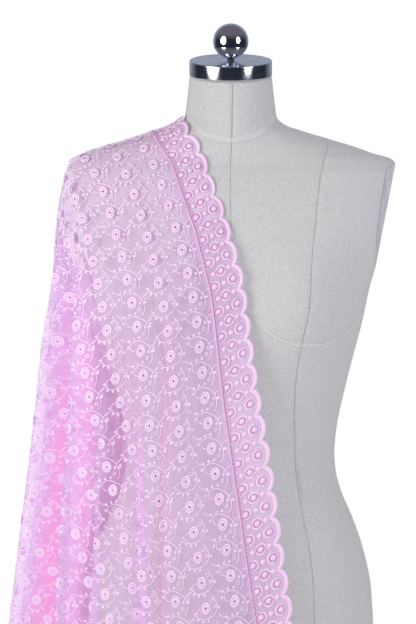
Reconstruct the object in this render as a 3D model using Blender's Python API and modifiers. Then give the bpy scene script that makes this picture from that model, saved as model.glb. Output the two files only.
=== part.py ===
"""Dupatta stole draped over one shoulder of a limbless dress form on a stand.

The dupatta is one rectangle of sheer cloth, 2.25 m long and 0.85 m wide, with a
scalloped border along one long edge. Its middle lies across the form's shoulder, the
border by the neck. From the shoulder tip the rest of the cloth hangs in radial folds.

Frame: metres, +Z up, the form faces -Y, the dupatta is on the -X shoulder. The origin
is the centre of the base's underside, on the axis of the pole.
"""
import math

import bmesh
import bpy
import numpy as np

# ---------------------------------------------------------------- driving dimensions
CLOTH_LENGTH = 2.250          # along the border, front end to back end
CLOTH_WIDTH = 0.850           # border edge to the plain long edge
BORDER_WIDTH = 0.042
TIP_ACROSS = 0.155            # border edge to the shoulder tip, measured on the cloth
CREASE_SPREAD = 0.30          # how far the first side fold leaves the tip's own column
WALL = 0.0012                 # cloth thickness
SEAM_GAP = 0.0003
SCALLOP_PITCH = 0.030
SCALLOP_DEPTH = 0.0065

TIP_X = -0.1965               # shoulder tip of the draped cloth
TIP_Z = 1.3830
TIP_NORMAL = (-0.35, 0.0, 0.94)
FOLD_START = 0.170            # distance from the tip over which the side folds appear
FOLD_GROWTH = 0.160           # distance over which they deepen
FOLD_FORMED = 0.320           # distance at which their edges are whole quarter circles
CREASE_ROUND = 0.0065         # radius of the first fold's edge where the fall meets it
CREASE_TURN = 0.025           # width of that round edge, as a share of the fall
BODY_EASE = 0.0045            # least distance from the folds to the form
LEAST_ROOM = 0.55             # where the form is slim, the folds stop at this share
END_POWER = 2.2               # how quickly the drop eases towards the two creases
TIP_RISE = 0.002              # the round of the shoulder beside the tip
TIP_ROUND = 0.030
TIP_BLEND = 0.020             # the folds start from the tip over this distance
FOLD_ROOM = 0.092             # depth and run of the folds where their lengths are set
FOLD_RUN = 0.205

POLE_RADIUS = 0.0140
PLATE_BOTTOM = 0.742
TORSO_BOTTOM = 0.755
AROUND = 44                   # facets round the padded form
PLATE_SCALE = 0.985           # the board under the form is a little smaller
CAP_RADIUS = 0.0502
CAP_HEIGHT = 0.0182
CAP_EDGE = 0.0012
CAP_TILT = math.radians(13.0)
CAP_TOP = 1.5040
BALL_RADIUS = 0.0214
STEM_HEIGHT = 0.0010
STEM_RADIUS = 0.0045
NECK_TOP = 1.4848
NECK_LEAN_START = 1.435       # above it the neck leans with its cap

# Round base from the top of its boss, out to the rim and down to the underside.
BASE_PROFILE = (
    # radius, height
    (0.0, 0.036),
    (0.020, 0.036),
    (0.024, 0.032),
    (0.026, 0.018),
    (0.153, 0.014),
    (0.162, 0.011),
    (0.165, 0.006),
    (0.165, 0.0),
    (0.0, 0.0),
)

# Horizontal sections of the padded form: height, half width, depth in front of and
# behind the pole axis, and the exponent of the superellipse (2 is an ellipse).
FORM_SECTIONS = np.array([
    # z,     width,  front,  back,   square
    (0.755, 0.1710, 0.0980, 0.1130, 2.20),
    (0.800, 0.1755, 0.1030, 0.1210, 2.20),
    (0.860, 0.1724, 0.1050, 0.1270, 2.20),
    (0.907, 0.1628, 0.1040, 0.1220, 2.20),
    (0.946, 0.1496, 0.1000, 0.1100, 2.15),
    (0.979, 0.1355, 0.0940, 0.0960, 2.10),
    (1.004, 0.1289, 0.0890, 0.0850, 2.05),
    (1.026, 0.1270, 0.0850, 0.0780, 2.05),
    (1.055, 0.1295, 0.0830, 0.0740, 2.10),
    (1.116, 0.1410, 0.0850, 0.0800, 2.20),
    (1.188, 0.1575, 0.0900, 0.0920, 2.25),
    (1.231, 0.1700, 0.0930, 0.0980, 2.30),
    (1.264, 0.1830, 0.0920, 0.1020, 2.40),
    (1.302, 0.1980, 0.0870, 0.1030, 2.45),
    (1.340, 0.2035, 0.0770, 0.0975, 2.40),
    (1.366, 0.2000, 0.0670, 0.0885, 2.20),
    (1.378, 0.1930, 0.0610, 0.0815, 2.00),
    (1.385, 0.1820, 0.0590, 0.0775, 1.80),
    (1.393, 0.1585, 0.0580, 0.0750, 1.65),
    (1.406, 0.1165, 0.0570, 0.0710, 1.55),
    (1.415, 0.0880, 0.0565, 0.0680, 1.60),
    (1.425, 0.0650, 0.0555, 0.0650, 1.75),
    (1.435, 0.0555, 0.0545, 0.0610, 1.90),
    (1.457, 0.0516, 0.0520, 0.0550, 2.00),
    (1.4848, 0.0498, 0.0500, 0.0500, 2.00),
])

# The flat faces where arms would start: half width at two heights, a plane between.
ARM_PLATE_LOW = (1.231, 0.1675)
ARM_PLATE_HIGH = (1.377, 0.1938)

# Bust cups: place, size and height of a soft round bump.
BUST_X = 0.091
BUST_Z = 1.208
BUST_RISE = 0.021
BUST_SPREAD_X = 0.044
BUST_SPREAD_Z = 0.046

# Smooth outer form that the hanging cloth follows, before its folds.
CLOTH_SECTIONS = np.array([
    # z,     width,  front,  back,   square
    (0.030, 0.3650, 0.1500, 0.1700, 2.80),
    (0.285, 0.3340, 0.1420, 0.1600, 2.80),
    (0.585, 0.2960, 0.1300, 0.1450, 2.80),
    (0.826, 0.2660, 0.1230, 0.1360, 2.80),
    (0.887, 0.2573, 0.1220, 0.1350, 2.80),
    (0.982, 0.2461, 0.1205, 0.1270, 2.80),
    (1.078, 0.2350, 0.1195, 0.1200, 2.80),
    (1.150, 0.2285, 0.1190, 0.1150, 2.80),
    (1.215, 0.2215, 0.1170, 0.1120, 2.70),
    (1.244, 0.2190, 0.1125, 0.1110, 2.65),
    (1.284, 0.2155, 0.1000, 0.1100, 2.55),
    (1.317, 0.2112, 0.0890, 0.1080, 2.45),
    (1.339, 0.2075, 0.0815, 0.1040, 2.35),
    (1.366, 0.2018, 0.0725, 0.0965, 2.10),
    (1.376, 0.1995, 0.0680, 0.0900, 1.95),
    (1.383, 0.1965, 0.0655, 0.0860, 1.80),
    (1.386, 0.1915, 0.0645, 0.0840, 1.75),
    (1.3935, 0.1668, 0.0635, 0.0810, 1.65),
    (1.4040, 0.1296, 0.0625, 0.0770, 1.58),
    (1.4170, 0.0914, 0.0615, 0.0735, 1.62),
    (1.4270, 0.0705, 0.0605, 0.0700, 1.75),
    (1.4370, 0.0580, 0.0590, 0.0655, 1.90),
])

# The border's outer edge, seen from the front and from behind.
FRONT_EDGE = np.array([
    # x,       z
    (-0.0580, 1.4370),
    (-0.0480, 1.4162),
    (-0.0360, 1.3994),
    (-0.0264, 1.3718),
    (-0.0174, 1.3466),
    (-0.0072, 1.3202),
    (0.0000, 1.2962),
    (0.0072, 1.2698),
    (0.0139, 1.2434),
    (0.0184, 1.2146),
    (0.0221, 1.1858),
    (0.0306, 1.1234),
    (0.0408, 1.0634),
    (0.0504, 1.0034),
    (0.0588, 0.9398),
    (0.0696, 0.8678),
    (0.0756, 0.8258),
    (0.1080, 0.6000),
    (0.1500, 0.3000),
])
BACK_EDGE = np.array([
    # x,       z
    (-0.0580, 1.4370),
    (-0.0490, 1.4150),
    (-0.0400, 1.3950),
    (-0.0320, 1.3700),
    (-0.0230, 1.3400),
    (-0.0150, 1.3050),
    (-0.0080, 1.2650),
    (0.0000, 1.2100),
    (0.0100, 1.1300),
    (0.0200, 1.0300),
    (0.0330, 0.9200),
    (0.0480, 0.8000),
    (0.0750, 0.6000),
    (0.1150, 0.3000),
])

# The first crisp fold, which runs down from the shoulder tip.
FRONT_CREASE = np.array([
    # x,       z
    (-0.1965, 1.3830),
    (-0.1945, 1.3740),
    (-0.1870, 1.3500),
    (-0.1836, 1.3200),
    (-0.1826, 1.2866),
    (-0.1850, 1.2300),
    (-0.1888, 1.1780),
    (-0.1929, 1.0980),
    (-0.1975, 1.0190),
    (-0.2032, 0.9506),
    (-0.2080, 0.8746),
    (-0.2130, 0.8000),
    (-0.2290, 0.5850),
    (-0.2480, 0.2850),
    (-0.2600, 0.0300),
])
BACK_CREASE = np.array([
    # x,       z
    (-0.1965, 1.3830),
    (-0.1950, 1.3740),
    (-0.1890, 1.3500),
    (-0.1850, 1.3200),
    (-0.1830, 1.2800),
    (-0.1860, 1.2100),
    (-0.1920, 1.1200),
    (-0.2010, 1.0000),
    (-0.2080, 0.8800),
    (-0.2160, 0.7800),
    (-0.2300, 0.5850),
    (-0.2480, 0.2850),
    (-0.2600, 0.0300),
])

# Side folds from the front crease round to the back crease. Each has a ridge, a hollow
# behind it and its share of the way. 0 is the outer form, 1 is close to the body.
SIDE_FOLDS = np.array([
    # ridge, hollow, share
    (0.00, 0.62, 1.00),
    (0.10, 0.72, 1.05),
    (0.00, 0.94, 1.10),
    (0.16, 0.90, 0.90),
    (0.04, 0.98, 1.10),
    (0.12, 0.80, 1.00),
    (0.00, 0.00, 0.00),
])

# Soft laps in the front and back falls: place across the fall, from the border to the
# crease; how far one side laps the other, its step in depth, and where it starts.
FRONT_LAPS = np.array([
    # place, width, lap,    step,   start_z
    (0.860, 0.060, 0.0125, 0.0060, 1.120),
    (0.660, 0.055, 0.0070, 0.0050, 1.080),
])
BACK_LAPS = np.array([
    # place, width, lap,    step,   start_z
    (0.840, 0.062, 0.0115, 0.0060, 1.140),
    (0.580, 0.060, 0.0080, 0.0050, 1.000),
])
LAP_FULL_DROP = 0.45          # height over which a lap grows to its whole size
LAP_PEAK = 2.33               # makes the greatest value of q e^(-q^2) one
LAP_SOFT = 1.6                # sharpness of the step in depth across a lap
CREASE_FADE = 0.06            # laps die away over this share before the crease

# The hollow between the bust cups: across from x to x, and up from z to z.
DIP_DEPTH = 0.012
DIP_ACROSS = (-0.070, 0.015)
DIP_LOW = (1.04, 1.18)
DIP_HIGH = (1.19, 1.28)

# Under the form nothing limits the side folds: the limit narrows to these shares.
FREE_LIMIT = np.array([
    # z,     share
    (0.030, 0.34),
    (0.300, 0.40),
    (0.500, 0.60),
    (0.650, 0.86),
    (0.740, 1.00),
])

# Rows of the cloth walls, as shares of the fall from the shoulder to the end.
ROW_SHARES = np.array([
    0.0, 0.010, 0.022, 0.037, 0.055, 0.077, 0.103, 0.133, 0.166, 0.203, 0.245,
    0.292, 0.344, 0.40, 0.46, 0.53, 0.60, 0.68, 0.76, 0.84, 0.92, 1.0])
FLAT_COLUMNS = 11             # columns of a fall between the border and its crease
LAP_STEPS = 8                 # extra columns across each lap
TURN_STEPS = 2                # facets in a quarter turn of a side fold
BORDER_COLUMNS = np.array([0.0, 0.45, 1.0])
SCALLOP_STEPS = 4             # facets along one scallop
SCALLOP_BOW = 0.96            # share of a half circle that one scallop uses
FIRST_SHARE = 0.28            # the panel's own columns begin here
SEAM_CLEAR = 1.25             # the panel's edge stands this many gaps from the border
LAP_REACH = 1.3               # a lap's columns span this many of its widths each way
CREASE_STEPS = np.array([1.0, 0.5, 0.134, 0.0])    # columns of the round edge
COLUMN_GAP = 0.012            # least share of a fall between two columns
TRACK_POINTS = 1500           # points at which a track's length is measured
TRACK_POWER = 3               # brings those points closer together at the shoulder
SMOOTH_EDGE = math.radians(35)
EXTRA_RINGS = (0.83, 1.15, 1.21)                   # more heights in the form's loft

SADDLE_LENGTH = 0.090         # how far down the fall the ridge's own curve still shows
HALF_LENGTH = CLOTH_LENGTH / 2
TIP = np.array([TIP_X, 0.0, TIP_Z])
TRACK_TOP = np.array([FRONT_EDGE[0, 0], 0.0, FRONT_EDGE[0, 1]])
CREASE_ANGLE = math.pi / 2 + math.atan(CREASE_SPREAD)


# ------------------------------------------------------------------- small functions
def smooth_curve(knots, values, at):
    """Cubic Hermite curve through (knots, values); slopes are limited to stay monotone."""
    step = np.diff(knots)
    slope = np.diff(values) / step
    tangent = np.empty_like(values)
    tangent[0] = slope[0]
    tangent[-1] = slope[-1]
    left, right = slope[:-1], slope[1:]
    same = left * right > 0
    mean = np.zeros_like(left)
    mean[same] = 2 * left[same] * right[same] / (left[same] + right[same])
    tangent[1:-1] = mean
    at = np.clip(at, knots[0], knots[-1])
    index = np.clip(np.searchsorted(knots, at) - 1, 0, len(step) - 1)
    h = step[index]
    t = (at - knots[index]) / h
    a = (1 + 2 * t) * (1 - t) ** 2 * values[index] + t * (1 - t) ** 2 * h * tangent[index]
    b = t * t * (3 - 2 * t) * values[index + 1] + t * t * (t - 1) * h * tangent[index + 1]
    return a + b


def smooth_step(low, high, value):
    """0 below low, 1 above high, 3t^2 - 2t^3 between."""
    t = np.clip((value - low) / (high - low), 0.0, 1.0)
    return t * t * (3 - 2 * t)


def section_value(table, column, z):
    return smooth_curve(table[:, 0], table[:, column], z)


def section_depth(table, side, x, z):
    """Depth of the superellipse at x: d (1 - |x / w|^n)^(1/n). Side -1 is the front."""
    width = section_value(table, 1, z)
    depth = section_value(table, 2 if side < 0 else 3, z)
    power = section_value(table, 4, z)
    inside = np.clip(1 - np.abs(x / width) ** power, 0.0, 1.0)
    return depth * inside ** (1 / power)


def section_width(table, y, z):
    """Half width of the superellipse at depth y: w (1 - |y / d|^n)^(1/n)."""
    width = section_value(table, 1, z)
    depth = np.where(y < 0, section_value(table, 2, z), section_value(table, 3, z))
    power = section_value(table, 4, z)
    inside = np.clip(1 - np.abs(y / depth) ** power, 0.0, 1.0)
    return width * inside ** (1 / power)


def arm_plate(z):
    """Half width of the form where the flat arm plates cut it; below them it is free."""
    slope = (ARM_PLATE_HIGH[1] - ARM_PLATE_LOW[1]) / (ARM_PLATE_HIGH[0] - ARM_PLATE_LOW[0])
    cut = ARM_PLATE_LOW[1] + slope * (z - ARM_PLATE_LOW[0])
    return np.where(z < ARM_PLATE_LOW[0], 1.0, cut)


# -------------------------------------------------------------------- the cloth's shape
def hang_depth(side, x, z):
    """Depth of the smooth fall, which sinks a little between the bust cups."""
    depth = section_depth(CLOTH_SECTIONS, side, x, z)
    if side < 0:
        dip = smooth_step(*DIP_ACROSS, x) * smooth_step(*DIP_LOW, z)
        depth = depth - DIP_DEPTH * dip * (1 - smooth_step(*DIP_HIGH, z))
    return depth


def track_by_length(table, side, lengths):
    """Points on an (x, z) track at given lengths along it, measured in space."""
    order = table[::-1]
    z = table[0, 1] + (table[-1, 1] - table[0, 1]) * np.linspace(0, 1, TRACK_POINTS) ** TRACK_POWER
    x = smooth_curve(order[:, 1], order[:, 0], z)
    y = side * hang_depth(side, x, z)
    points = np.stack([x, y, z], axis=1)
    run = np.concatenate([[0.0], np.cumsum(np.linalg.norm(np.diff(points, axis=0), axis=1))])
    return np.stack([np.interp(lengths, run, points[:, k]) for k in range(3)], axis=-1)


def ridge_height(x):
    """Height of the smooth form's top line, where its sections close to a point."""
    rows = CLOTH_SECTIONS[CLOTH_SECTIONS[:, 0] >= TIP_Z - 1e-6][::-1]
    return smooth_curve(rows[:, 1], rows[:, 0], np.abs(x))


def fold_growth(length):
    """Share of its depth that a side fold has at a length from the shoulder tip."""
    return smooth_step(0.0, FOLD_START, length) * (1 - np.exp(-length / FOLD_GROWTH))


def lap_offsets(laps, across, z):
    """Shift along x and depth of the soft laps at a place across the fall."""
    shift = np.zeros_like(across)
    step = np.zeros_like(across)
    for place, width, lap, rise, start in laps:
        grown = smooth_step(0.0, 1.0, (start - z) / LAP_FULL_DROP)
        q = (across - place) / width
        shift += grown * lap * LAP_PEAK * q * np.exp(-q * q)
        step += grown * rise * 0.5 * (1 + np.tanh(LAP_SOFT * q))
    return shift, step


def fall_points(side, across, run):
    """Front (side -1) or back (+1) fall: straight rows from the border to the crease.

    across is 0 at the border's edge and 1 at the crease, run is the length from the
    shoulder. The row's depth follows the smooth fall. Laps are added to it, and it
    stands a little forward of the crease, so that the first fold's edge is round.
    """
    edge_table = FRONT_EDGE if side < 0 else BACK_EDGE
    crease_table = FRONT_CREASE if side < 0 else BACK_CREASE
    laps = FRONT_LAPS if side < 0 else BACK_LAPS
    edge = track_by_length(edge_table, side, run)
    crease = track_by_length(crease_table, side, run * math.hypot(1, CREASE_SPREAD))
    x = edge[..., 0] + (crease[..., 0] - edge[..., 0]) * across
    z = edge[..., 2] + (crease[..., 2] - edge[..., 2]) * across
    top = TRACK_TOP + (TIP - TRACK_TOP) * across[..., None]
    saddle = ridge_height(top[..., 0]) - top[..., 2]
    z = z + saddle * np.exp(-(run / SADDLE_LENGTH) ** 2)
    shift, step = lap_offsets(laps, across, z)
    end_fade = smooth_step(0.0, CREASE_FADE, 1 - across)
    turn = np.clip((across - 1 + CREASE_TURN) / CREASE_TURN, 0.0, 1.0)
    forward = CREASE_ROUND * smooth_step(FOLD_START / 2, FOLD_FORMED, run)
    forward = forward * smooth_step(0.5, 1 - CREASE_TURN, across)
    y = side * (hang_depth(side, x, z) - step * end_fade + forward * np.sqrt(1 - turn ** 2))
    return np.stack([x + shift * end_fade, y, z], axis=-1)


def fold_path(turn_steps, straight_steps):
    """The side folds in plan: inward, along, guide and the length to each point.

    Straight passes joined by quarter circles. Inward 0..1 spans the room between the
    outer form and the body. Guide is the place along the side whose room a point uses:
    it runs evenly through a pass, so that a fold's round edge stays round.
    """
    shares = SIDE_FOLDS[:-1, 2] / SIDE_FOLDS[:-1, 2].sum()
    inward = [np.array([0.0])]
    along = [np.array([0.0])]
    guide = [np.array([0.0])]
    place = 0.0
    turn = np.linspace(0, math.pi / 2, turn_steps + 1)
    straight = np.linspace(0, 1, straight_steps + 1)[1:]
    for k in range(len(SIDE_FOLDS) - 1):
        ridge, hollow = SIDE_FOLDS[k, 0], SIDE_FOLDS[k, 1]
        after = SIDE_FOLDS[k + 1, 0]
        half = shares[k] / 2
        radius = half / 2
        reach = radius * FOLD_RUN / FOLD_ROOM
        for start, stop in ((ridge, hollow), (hollow, after)):
            sign = math.copysign(1.0, stop - start)
            first = start + sign * reach * (1 - np.cos(turn))
            last = stop - sign * reach * (1 - np.cos(turn[::-1]))
            middle = first[-1] + (last[0] - first[-1]) * straight
            inward += [first[1:], middle, last[1:]]
            for part_of_pass in (first[1:], middle, last[1:]):
                guide.append(place + half * (part_of_pass - start) / (stop - start))
            along += [place + radius * np.sin(turn[1:]),
                      np.full(straight_steps, place + radius),
                      place + 2 * radius - radius * np.sin(turn[::-1][1:])]
            place += half
    inward = np.concatenate(inward)
    along = np.concatenate(along)
    guide = np.concatenate(guide)
    steps = np.hypot(np.diff(inward) * FOLD_ROOM, np.diff(along) * FOLD_RUN)
    return inward, along, guide, np.concatenate([[0.0], np.cumsum(steps)])


def side_points(inward, along, guide, even, radius):
    """Side of the drape: folds between the two creases, at a distance from the tip.

    The drop is the radius less what the round of the shoulder takes up, which is read
    from the creases at the ends and is least in the middle. Near the tip, where the
    folds are only starting, the points are spread evenly instead.
    """
    formed = smooth_step(0.0, FOLD_FORMED, radius)
    along = even + (along - even) * formed
    guide = even + (guide - even) * formed
    front = track_by_length(FRONT_CREASE, -1, radius)
    back = track_by_length(BACK_CREASE, 1, radius)
    edge_share = np.abs(2 * along - 1) ** END_POWER
    ends = np.where(along < 0.5, front[..., 2], back[..., 2])
    z = (TIP_Z - radius + TIP_RISE * smooth_step(0, TIP_ROUND, radius)) * (1 - edge_share)
    z = z + ends * edge_share
    y = front[..., 1] + (back[..., 1] - front[..., 1]) * along
    guide_y = front[..., 1] + (back[..., 1] - front[..., 1]) * guide
    outer = section_width(CLOTH_SECTIONS, guide_y, z)
    end_x = front[..., 0] + (back[..., 0] - front[..., 0]) * along
    tip_share = smooth_step(0.0, TIP_BLEND, radius)
    outer = outer * tip_share - end_x * (1 - tip_share)
    body = np.minimum(section_width(FORM_SECTIONS, guide_y, z), arm_plate(z))
    free = smooth_curve(FREE_LIMIT[:, 0], FREE_LIMIT[:, 1], z)
    limit = (np.maximum(body, LEAST_ROOM * outer) + BODY_EASE) * free
    depth = np.clip(outer - limit, 0.0, 1.0)
    x = -(outer - inward * depth * fold_growth(radius))
    return np.stack([x, y, z], axis=-1)


def radius_limit(angle):
    """Distance from the tip to the cloth's edge, in a direction from the border."""
    to_end = HALF_LENGTH / np.maximum(np.sin(angle), 1e-9)
    to_long_edge = (CLOTH_WIDTH - TIP_ACROSS) / np.maximum(-np.cos(angle), 1e-9)
    return np.minimum(to_end, to_long_edge)


def crease_across(run):
    """Width of cloth between the border's edge and the crease."""
    return TIP_ACROSS + CREASE_SPREAD * run


def flat_columns(side):
    """Places across a fall, closer together at its laps."""
    laps = FRONT_LAPS if side < 0 else BACK_LAPS
    places = [np.linspace(0, 1, FLAT_COLUMNS)]
    for row in laps:
        places.append(row[0] + row[1] * np.linspace(-LAP_REACH, LAP_REACH, LAP_STEPS))
    places = np.unique(np.round(np.concatenate(places), 4))
    keep = np.concatenate([[True], np.diff(places) > COLUMN_GAP])
    places = places[keep & (places < 1 - 2 * CREASE_TURN)]
    return np.concatenate([places, 1 - CREASE_TURN * CREASE_STEPS])


def fall_grid(side):
    """Middle surface of a whole fall: border columns, then the panel's, from the
    shoulder to the end. Returns it with the number of columns before the side folds."""
    run = ROW_SHARES * HALF_LENGTH
    run[0] = SEAM_GAP / 2
    width = crease_across(run)[:, None]
    border = BORDER_WIDTH * BORDER_COLUMNS / width
    first = (BORDER_WIDTH + SEAM_CLEAR * SEAM_GAP) / width
    places = flat_columns(side)
    places = places[places > FIRST_SHARE]
    share = (places - places[0]) / (1 - places[0])
    across = np.concatenate([border, first + (1 - first) * share], axis=1)
    flat = fall_points(side, across, np.broadcast_to(run[:, None], across.shape))

    inward, along, guide, length = fold_path(TURN_STEPS, 1)
    middle = int(np.argmin(np.abs(along - 0.5)))
    pick = np.arange(1, middle + 1) if side < 0 else np.arange(middle, len(along) - 1)[::-1]
    turned = length if side < 0 else length[-1] - length
    angle = CREASE_ANGLE + (math.pi - CREASE_ANGLE) * turned[pick] / turned[middle]
    radius = ROW_SHARES[:, None] * radius_limit(angle)[None, :]
    radius[0] = SEAM_GAP / 2
    even = length / length[-1]
    shape = (np.broadcast_to(values[pick], radius.shape)
             for values in (inward, along, guide, even))
    grid = np.concatenate([flat, side_points(*shape, radius)], axis=1)
    grid[:, across.shape[1]:, 1] += side * SEAM_GAP / 2
    grid[0, :, 1] = side * SEAM_GAP / 2
    grid[0, across.shape[1] - 1:] = (TIP_X, side * SEAM_GAP / 2, TIP_Z)
    return grid, across.shape[1]


def scallop_edge(run):
    """Inset of the border's outer edge: circular arcs that meet in valleys."""
    phase = run / SCALLOP_PITCH
    offset = 2 * (phase - np.floor(phase)) - 1
    bow = 1 - np.sqrt(1 - SCALLOP_BOW * offset ** 2)
    return SCALLOP_DEPTH * bow / (1 - math.sqrt(1 - SCALLOP_BOW))


def scalloped(coarse, rows):
    """Rows at every step of the scallops, with the outer column drawn in to them."""
    count = int(HALF_LENGTH / SCALLOP_PITCH)
    run = np.arange(count * SCALLOP_STEPS + 1) * SCALLOP_PITCH / SCALLOP_STEPS
    inset = scallop_edge(run) / (BORDER_WIDTH * BORDER_COLUMNS[1])
    run[0] = rows[0]
    run = np.append(run, HALF_LENGTH)
    inset = np.append(inset, inset[-1])[:, None]
    fine = np.stack([np.stack([np.interp(run, rows, coarse[:, c, k]) for k in range(3)], axis=1)
                     for c in range(coarse.shape[1])], axis=1)
    fine[:, 0] += (fine[:, 1] - fine[:, 0]) * inset
    return fine


# ------------------------------------------------------------------- making the meshes
def unit(vectors):
    size = np.linalg.norm(vectors, axis=-1, keepdims=True)
    return vectors / np.maximum(size, 1e-12)


def bisected(grid, axis):
    """Tangents along one axis: the unit steps before and after each point, added."""
    step = unit(np.diff(grid, axis=axis))
    first, last = np.take(step, [0], axis=axis), np.take(step, [-1], axis=axis)
    return np.concatenate([first, step], axis=axis) + np.concatenate([step, last], axis=axis)


def grid_normals(grid):
    """Unit normals of a grid, from its rows and columns."""
    return unit(np.cross(bisected(grid, 0), bisected(grid, 1)))


def add_object(name, mesh, material, collection):
    item = bpy.data.objects.new(name, mesh)
    mesh.materials.append(material)
    collection.objects.link(item)
    return item


def wall_from_grid(name, grid, normal, material, collection):
    """Closed wall round a middle surface: two skins split along the same, shorter
    diagonals, so that they never meet, and a rim."""
    rows, columns, _ = grid.shape
    count = rows * columns
    outer = grid + normal * WALL / 2
    inner = grid - normal * WALL / 2
    points = np.concatenate([outer.reshape(-1, 3), inner.reshape(-1, 3)])
    index = np.arange(count).reshape(rows, columns)
    corners = index[:-1, :-1], index[1:, :-1], index[1:, 1:], index[:-1, 1:]
    a, b, c, d = (corner.reshape(-1) for corner in corners)
    middle = grid.reshape(-1, 3)
    straight = np.linalg.norm(middle[a] - middle[c], axis=1)
    crossed = np.linalg.norm(middle[b] - middle[d], axis=1)
    use_crossed = (crossed < straight)[:, None]
    first = np.where(use_crossed, np.stack([a, b, d], axis=1), np.stack([a, b, c], axis=1))
    second = np.where(use_crossed, np.stack([b, c, d], axis=1), np.stack([a, c, d], axis=1))
    skin = np.concatenate([first, second])
    rim = np.concatenate([index[0, :], index[1:, -1], index[-1, -2::-1], index[-2:0:-1, 0]])
    after = np.roll(rim, -1)
    sides = np.stack([rim, after, after + count, rim + count], axis=-1)
    faces = skin.tolist() + (skin[:, ::-1] + count).tolist() + sides.tolist()
    mesh = bpy.data.meshes.new(name)
    mesh.from_pydata(points.tolist(), [], faces)
    work = bmesh.new()
    work.from_mesh(mesh)
    bmesh.ops.remove_doubles(work, verts=work.verts, dist=1e-6)
    bmesh.ops.recalc_face_normals(work, faces=work.faces)
    if work.calc_volume(signed=True) < 0:
        bmesh.ops.reverse_faces(work, faces=work.faces)
    work.to_mesh(mesh)
    work.free()
    mesh.shade_smooth()
    return add_object(name, mesh, material, collection)


def make_material(name, color, roughness, metallic=0.0):
    material = bpy.data.materials.new(name)
    material.use_nodes = True
    shader = material.node_tree.nodes["Principled BSDF"]
    shader.inputs["Base Color"].default_value = (*color, 1.0)
    shader.inputs["Roughness"].default_value = roughness
    shader.inputs["Metallic"].default_value = metallic
    return material


def turned(name, profile, material, collection, steps=40):
    """A solid of revolution about its own Z axis; the profile runs top to bottom."""
    mesh = bpy.data.meshes.new(name)
    edges = [(i, i + 1) for i in range(len(profile) - 1)]
    mesh.from_pydata([(r, 0.0, z) for r, z in profile], edges, [])
    item = add_object(name, mesh, material, collection)
    screw = item.modifiers.new("Screw", "SCREW")
    screw.steps = steps
    screw.render_steps = steps
    screw.use_merge_vertices = True
    screw.merge_threshold = 1e-5
    screw.use_smooth_shade = True
    return item


# -------------------------------------------------------------------------- the pieces
def ridge_normals(row):
    """Upward normals along the shoulder ridge, square to its run."""
    run = np.gradient(row, axis=0)
    normal = np.stack([-run[:, 2], np.zeros(len(row)), run[:, 0]], axis=1)
    normal *= np.where(normal[:, 2:3] < 0, -1.0, 1.0)
    return normal / np.maximum(np.linalg.norm(normal, axis=1, keepdims=True), 1e-9)


def outward_normals(points):
    """Normals of the smooth outer form beside the given points."""
    y, z = points[..., 1], points[..., 2]
    nudge = 0.001
    width = section_width(CLOTH_SECTIONS, y, z)
    over_y = (section_width(CLOTH_SECTIONS, y + nudge, z) - width) / nudge
    over_z = (section_width(CLOTH_SECTIONS, y, z + nudge) - width) / nudge
    return unit(np.stack([-np.ones(y.shape), -over_y, -over_z], axis=-1))


def make_cloth(material, collection):
    """Panel and border of each fall; walls that meet share their normals."""
    rows = ROW_SHARES * HALF_LENGTH
    rows[0] = SEAM_GAP / 2
    grids = {}
    normals = {}
    for side in (-1, 1):
        grids[side], flat_count = fall_grid(side)
        normals[side] = side * grid_normals(grids[side])
        folded = smooth_step(0.0, FOLD_START / 2, rows)[:, None, None]
        smooth = outward_normals(grids[side])
        normals[side] = unit(smooth + (normals[side] - smooth) * folded)
        normals[side][0] = ridge_normals(grids[side][0])
        normals[side][0, flat_count - 1:] = TIP_NORMAL
    seam = unit((normals[-1][:, -1] + normals[1][:, -1]) * (1.0, 0.0, 1.0))
    split = len(BORDER_COLUMNS)
    for label, side in (("front", -1), ("back", 1)):
        normals[side][:, -1] = seam
        normals[side][:, split] = normals[side][:, split - 1]
        wall_from_grid(f"panel_{label}", grids[side][:, split:], normals[side][:, split:],
                       material, collection)
        wall_from_grid(f"border_{label}", scalloped(grids[side][:, :split], rows),
                       scalloped(normals[side][:, :split], rows), material, collection)


def make_torso(material, collection):
    """The padded torso: a loft of its sections, cut flat at the arms."""
    angle = np.linspace(0, 2 * math.pi, AROUND, endpoint=False) + math.pi / AROUND
    z = np.unique(np.concatenate([FORM_SECTIONS[:, 0], EXTRA_RINGS]))
    rings = []
    for height in z:
        width, front, back, power = (section_value(FORM_SECTIONS, k, height) for k in (1, 2, 3, 4))
        cos, sin = np.cos(angle), np.sin(angle)
        x = width * np.sign(cos) * np.abs(cos) ** (2 / power)
        y = np.where(sin < 0, front, back) * np.sign(sin) * np.abs(sin) ** (2 / power)
        bump = np.exp(-((np.abs(x) - BUST_X) / BUST_SPREAD_X) ** 2 / 2)
        bump *= math.exp(-((height - BUST_Z) / BUST_SPREAD_Z) ** 2 / 2)
        y = y - BUST_RISE * bump * (sin < 0)
        limit = arm_plate(height)
        x = np.clip(x, -limit, limit)
        lean = smooth_step(NECK_LEAN_START, NECK_TOP, height) * math.tan(CAP_TILT)
        rings.append(np.stack([x, y, np.full(AROUND, height) + lean * y], axis=1))
    count = len(rings)
    points = np.concatenate(rings)
    index = np.arange(count * AROUND).reshape(count, AROUND)
    turned_index = np.roll(index, -1, axis=1)
    quads = np.stack([index[:-1], turned_index[:-1], turned_index[1:], index[1:]], axis=-1)
    faces = quads.reshape(-1, 4).tolist()
    faces.append(index[0, ::-1].tolist())
    faces.append(index[-1].tolist())
    mesh = bpy.data.meshes.new("torso")
    mesh.from_pydata(points.tolist(), [], faces)
    mesh.shade_smooth()
    mesh.set_sharp_from_angle(angle=SMOOTH_EDGE)
    return add_object("torso", mesh, material, collection)


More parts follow.
